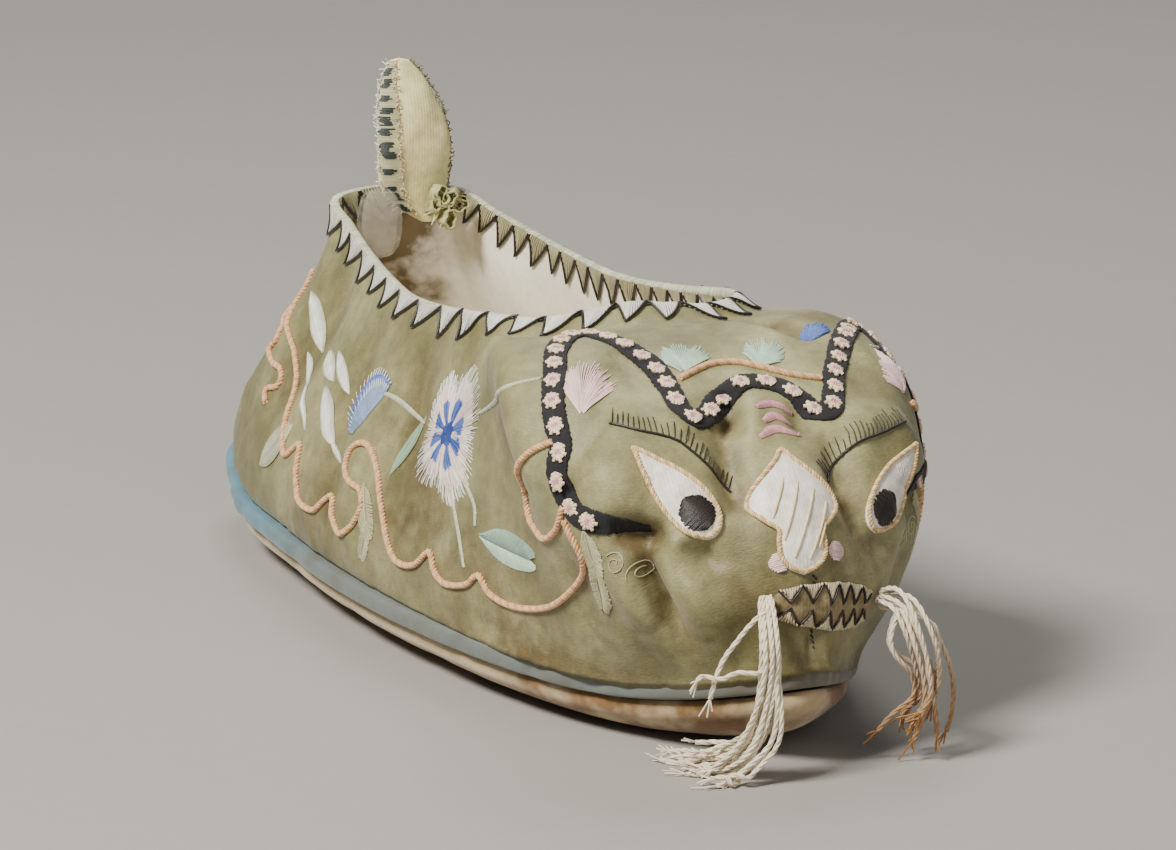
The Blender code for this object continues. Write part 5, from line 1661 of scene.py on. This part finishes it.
def hang_tassel(name, place, locks, darkening, sizes, colours):
    """Yarns of each lock, spread round its route, with frayed ends that lie on the floor."""
    rng = default_rng(5)
    root, normal = frame_at(*place)[:2]
    stained = darkening > 0.5
    dye = colours.yarn_soil if stained else colours.yarn
    lines, ends = [], []
    for number, lock in enumerate(locks):
        route = ([root + normal * 0.5] if number == 0 else []) + list(lock.points)
        path = smooth_path(route, 60)
        run = unit(np.gradient(path, axis=0))
        first = unit(np.cross(run, (0.3, 1.0, 0.2)))
        second = np.cross(run, first)
        share = np.linspace(0.0, 1.0, len(path))
        for k in range(lock.yarns):
            angle = 2.4 * k + 0.9 * share + rng.uniform(0.0, 0.4)
            reach = lock.spread * math.sqrt((k + 0.5) / lock.yarns) * (0.35 + 0.65 * share ** 0.4)
            drift = rng.uniform(-1.0, 1.0, 3) * (1.3 * share ** 2.5)[:, None]
            wave = 0.22 * np.sin(share * rng.uniform(8.0, 16.0) + rng.uniform(0.0, 6.0))
            yarn = path + first * (reach * np.cos(angle) + wave)[:, None] + drift
            yarn = yarn + second * (reach * np.sin(angle))[:, None]
            yarn[:, 2] = np.maximum(yarn[:, 2], 0.5 * sizes.yarn_width / MM + 0.02)
            yarn = yarn[:int(len(yarn) * rng.uniform(0.86, 1.0))]
            lines.append(to_scene(yarn))
            # Fibres that come loose at the end
            for _ in range(4):
                way = unit(yarn[-1] - yarn[-4]) + rng.uniform(-0.5, 0.5, 3)
                tip = yarn[-1] + np.outer((0.0, 0.5, 1.0), way * rng.uniform(0.8, 2.0))
                tip[:, 2] = np.maximum(tip[:, 2], 0.12)
                ends.append(Thread(to_scene(tip), 0.09, dye))
    cotton = twisted_thread("cotton yarn " + name, colours.yarn, colours.yarn, colours.yarn_soil)
    yarns = make_cord("yarns_" + name, lines, sizes.yarn_width, sizes.yarn_lay, cotton, 0.3 * MM)
    points = np.zeros(len(yarns.data.vertices) * 3, np.float32)
    yarns.data.vertices.foreach_get("co", points)
    low = points.reshape(-1, 3)[:, 2] / MM
    top, fade = (17.5, 13.0) if stained else (3.0, 3.0)
    write_attribute(yarns.data, "soil_and_shade", darkening * ease((top - low) / fade))
    piece = join("whisker_" + name, [yarns, make_threads("ends_" + name, ends)])
    settle(piece, "cotton_yarn", "tassel_" + name)


class SHOE_OT_whiskers(bpy.types.Operator):
    """Hang the whiskers of twisted cotton yarn from the corners of the mouth"""
    bl_idname = "tiger_shoe.whiskers"
    bl_label = "Whiskers"

    def execute(self, context):
        sizes, colours = shoe(context)
        hang_tassel("right", RIGHT_WHISKER, RIGHT_LOCKS, 0.15, sizes, colours)
        hang_tassel("left", LEFT_WHISKER, LEFT_LOCKS, 0.9, sizes, colours)
        return {"FINISHED"}


def tab_ring(row, angles, swell=0.0):
    """Points round the tail tab at one of its rows."""
    height, half_width, half_thick, along, across = row
    return np.column_stack([
        along + (half_thick + swell) * np.sin(angles), across + (half_width + swell) * np.cos(angles),
        np.full(len(angles), height)])


def trim_stitches(rows, colours, rng):
    """Woven trim along the tab's near edge, with dark squares, and fuzz on both edges."""
    threads = []
    dark = np.zeros(170, bool)
    start = 3
    while start < len(dark):
        dark[start:start + rng.integers(4, 12)] = True
        start += rng.integers(10, 19)
    for k, number in enumerate(np.linspace(8, len(rows) - 1, len(dark))):
        row = np.array([np.interp(number, np.arange(len(rows)), column) for column in rows.T])
        band = to_scene(tab_ring(row, math.pi - np.linspace(0.2, 1.08, 6), 0.1))
        dye = shades(colours.floss_straw, 1, 0.15, 500 + k)[0]
        threads.append(Thread(band, 0.1, dye))
        if dark[k]:
            middle = 0.62 + 0.07 * math.sin(0.4 * k) + rng.uniform(-0.08, 0.08)
            arc = np.linspace(-0.19, 0.19, 4) * rng.uniform(0.7, 1.4)
            square = to_scene(tab_ring(row, math.pi - middle - arc, 0.2))
            threads.append(Thread(square, 0.1, shades(colours.tab_trim, 1, 0.5, 300 + k)[0]))
        # Fuzz along both borders of the trim and on the other edge
        fuzz = ((math.pi - 1.1, colours.cream), (math.pi - 0.2, colours.floss_white), (0.15, colours.silk))
        for corner, colour in fuzz:
            hair = tab_ring(row, corner + np.linspace(0.0, 0.05, 3), 0.1)
            hair += np.outer((0.0, 0.5, 1.0), rng.uniform(-0.55, 0.55, 3))
            threads.append(Thread(to_scene(hair), 0.07, shades(colour, 1, 0.2, 900 + k)[0]))
    return threads


def fold_gauze(colours):
    """Folded loop of gauze ribbon inside the heel."""
    path = closed_path(GAUZE_TURNS, 73)[:-1]
    runs = np.roll(path, -1, axis=0) - np.roll(path, 1, axis=0)
    outwards = unit(np.column_stack([runs[:, 1], -runs[:, 0]]))
    wave = 0.1 * np.sin(np.arange(len(path)) * 0.9)
    shares = np.linspace(-0.5, 0.5, 12)
    middle, half = 0.5 * (path[:, 1].max() + path[:, 1].min()), 0.5 * np.ptp(path[:, 1])
    taper = 0.45 + 0.55 * np.sqrt(1.0 - ((path[:, 1] - middle) / half) ** 2)
    rings = []
    for depth, across in [(0.0, s) for s in shares] + [(1.0, s) for s in shares[::-1]]:
        bow = 0.25 * (1.0 - (2.0 * across) ** 2)
        turn = path + outwards * (bow - depth * GAUZE_THICK + wave * across)[:, None]
        rings.append(np.insert(turn, 1, GAUZE_ACROSS + across * GAUZE_WIDTH * taper, axis=1))
    faces = ring_faces(len(rings), len(path), wrap=True)
    loop = make_solid("gauze_ribbon", to_scene(np.vstack(rings)), faces, [sheer_gauze(colours)])
    settle(loop, "grey_gauze", "gauze_loop")


def tie_knot(colours):
    """Crumpled loops of narrow ribbon with loose threads, tied in front of the tab."""
    silk = woven_silk("pale knot silk", linear("#C8C590"), linear("#83824C"), 0.6)
    centre = np.array(KNOT_CENTRE)
    angles = np.linspace(0.0, TURN, 49)[:-1]
    pieces = []
    rng = default_rng(77)
    for number, (lean, reach, tilt) in enumerate(KNOT_LOOPS):
        ahead = np.array((0.35 * math.sin(2.0 * lean), math.cos(lean), math.sin(lean)))
        aside = unit(np.cross(ahead, (1.0, 0.25 * tilt, 0.3)))
        width = np.cross(ahead, aside) * 1.1
        bend = 0.8 * np.sin(angles) + 0.14 * np.sin(5.0 * angles + number)
        start = centre + rng.uniform(-0.6, 0.6, 3)
        far = 0.5 * reach * (1.0 - np.cos(angles))
        shape = start + far[:, None] * ahead + bend[:, None] * aside
        out = np.cos(angles)[:, None] * -ahead + np.sin(angles)[:, None] * aside
        rings = [shape + across * width + out * depth for across, depth in (
            (-1, 0.0), (0, 0.08), (1, 0.0), (1, -0.22), (0, -0.14), (-1, -0.22))]
        faces = ring_faces(6, len(angles), wrap=True)
        pieces.append(make_solid(f"knot_loop_{number}", to_scene(np.vstack(rings)), faces, [silk]))
    loose = []
    for k in range(26):
        way = rng.uniform(-1.0, 1.0, 3) * (0.7, 1.7, 1.2)
        droop = rng.uniform(-0.8, 0.8, 3) - (0.0, 0.0, 1.0)
        line = smooth_path(np.array([centre, centre + way, centre + 1.5 * way + droop]), 9)
        loose.append(Thread(to_scene(line), HAIR, shades(colours.tab_silk, 1, 0.3, 80 + k)[0]))
    pieces.append(make_threads("knot_threads", loose))
    settle(join("ribbon_knot_tied", pieces), "pale_silk", "ribbon_knot")


class SHOE_OT_tail(bpy.types.Operator):
    """Make the padded tail tab, the gauze loop and the tied knot at the heel"""
    bl_idname = "tiger_shoe.tail"
    bl_label = "Tail"

    def execute(self, context):
        _, colours = shoe(context)
        count, sections = 64, 90
        rows = smooth_path(TAB_ROWS, sections)
        angles = np.linspace(0.0, TURN, count, endpoint=False)
        rng = default_rng(12)
        lumps = rng.uniform(0.0, TURN, (3, 2))
        rings = []
        for k, row in enumerate(rows):
            lump = sum(0.1 * np.sin((2 + n) * angles + a) * math.sin(0.07 * (n + 1) * k + b)
                       for n, (a, b) in enumerate(lumps))
            rings.append(tab_ring(row, angles, lump))
        points = np.vstack(rings + [rings[0].mean(0)[None], rings[-1].mean(0)[None] + (0, 0, 0.3)])
        faces = ring_faces(sections, count) + cone_caps(sections, count)
        silk = woven_silk("pale tab silk", colours.tab_silk, linear("#D6CF90"), 0.7)
        leaf = make_solid("tab_leaf", to_scene(points), faces, [silk])
        trim = make_threads("tab_trim", trim_stitches(rows, colours, rng))
        settle(join("tail_tab", [leaf, trim]), "pale_silk", "heel_tab")
        fold_gauze(colours)
        tie_knot(colours)
        return {"FINISHED"}


class SHOE_PT_panel(bpy.types.Panel):
    """Sizes, colours and pieces of the shoe"""
    bl_idname = "SHOE_PT_panel"
    bl_label = "Tiger head shoe"
    bl_space_type = "VIEW_3D"
    bl_region_type = "UI"
    bl_category = "Shoe"

    def draw(self, context):
        for group in shoe(context):
            box = self.layout.box()
            for name in group.__annotations__:
                box.prop(group, name)
        for operator in OPERATORS:
            self.layout.operator(operator.bl_idname)


OPERATORS = (SHOE_OT_stage, SHOE_OT_sole, SHOE_OT_upper, SHOE_OT_topline, SHOE_OT_face_ribbon, SHOE_OT_face,
             SHOE_OT_embroidery, SHOE_OT_whiskers, SHOE_OT_tail)
CLASSES = (ShoeSizes, ShoeColours, *OPERATORS, SHOE_PT_panel)


def register():
    """Add the classes, and their settings to the scene."""
    for each in CLASSES:
        bpy.utils.register_class(each)
    bpy.types.Scene.tiger_shoe_sizes = bpy.props.PointerProperty(type=ShoeSizes)
    bpy.types.Scene.tiger_shoe_colours = bpy.props.PointerProperty(type=ShoeColours)


def unregister():
    """Take the classes and their settings away again."""
    del bpy.types.Scene.tiger_shoe_colours
    del bpy.types.Scene.tiger_shoe_sizes
    for each in reversed(CLASSES):
        bpy.utils.unregister_class(each)


def main():
    """Make every piece in order."""
    register()
    for operator in OPERATORS:
        getattr(bpy.ops.tiger_shoe, operator.bl_idname.split(".")[1])()


if __name__ == "__main__":
    main()
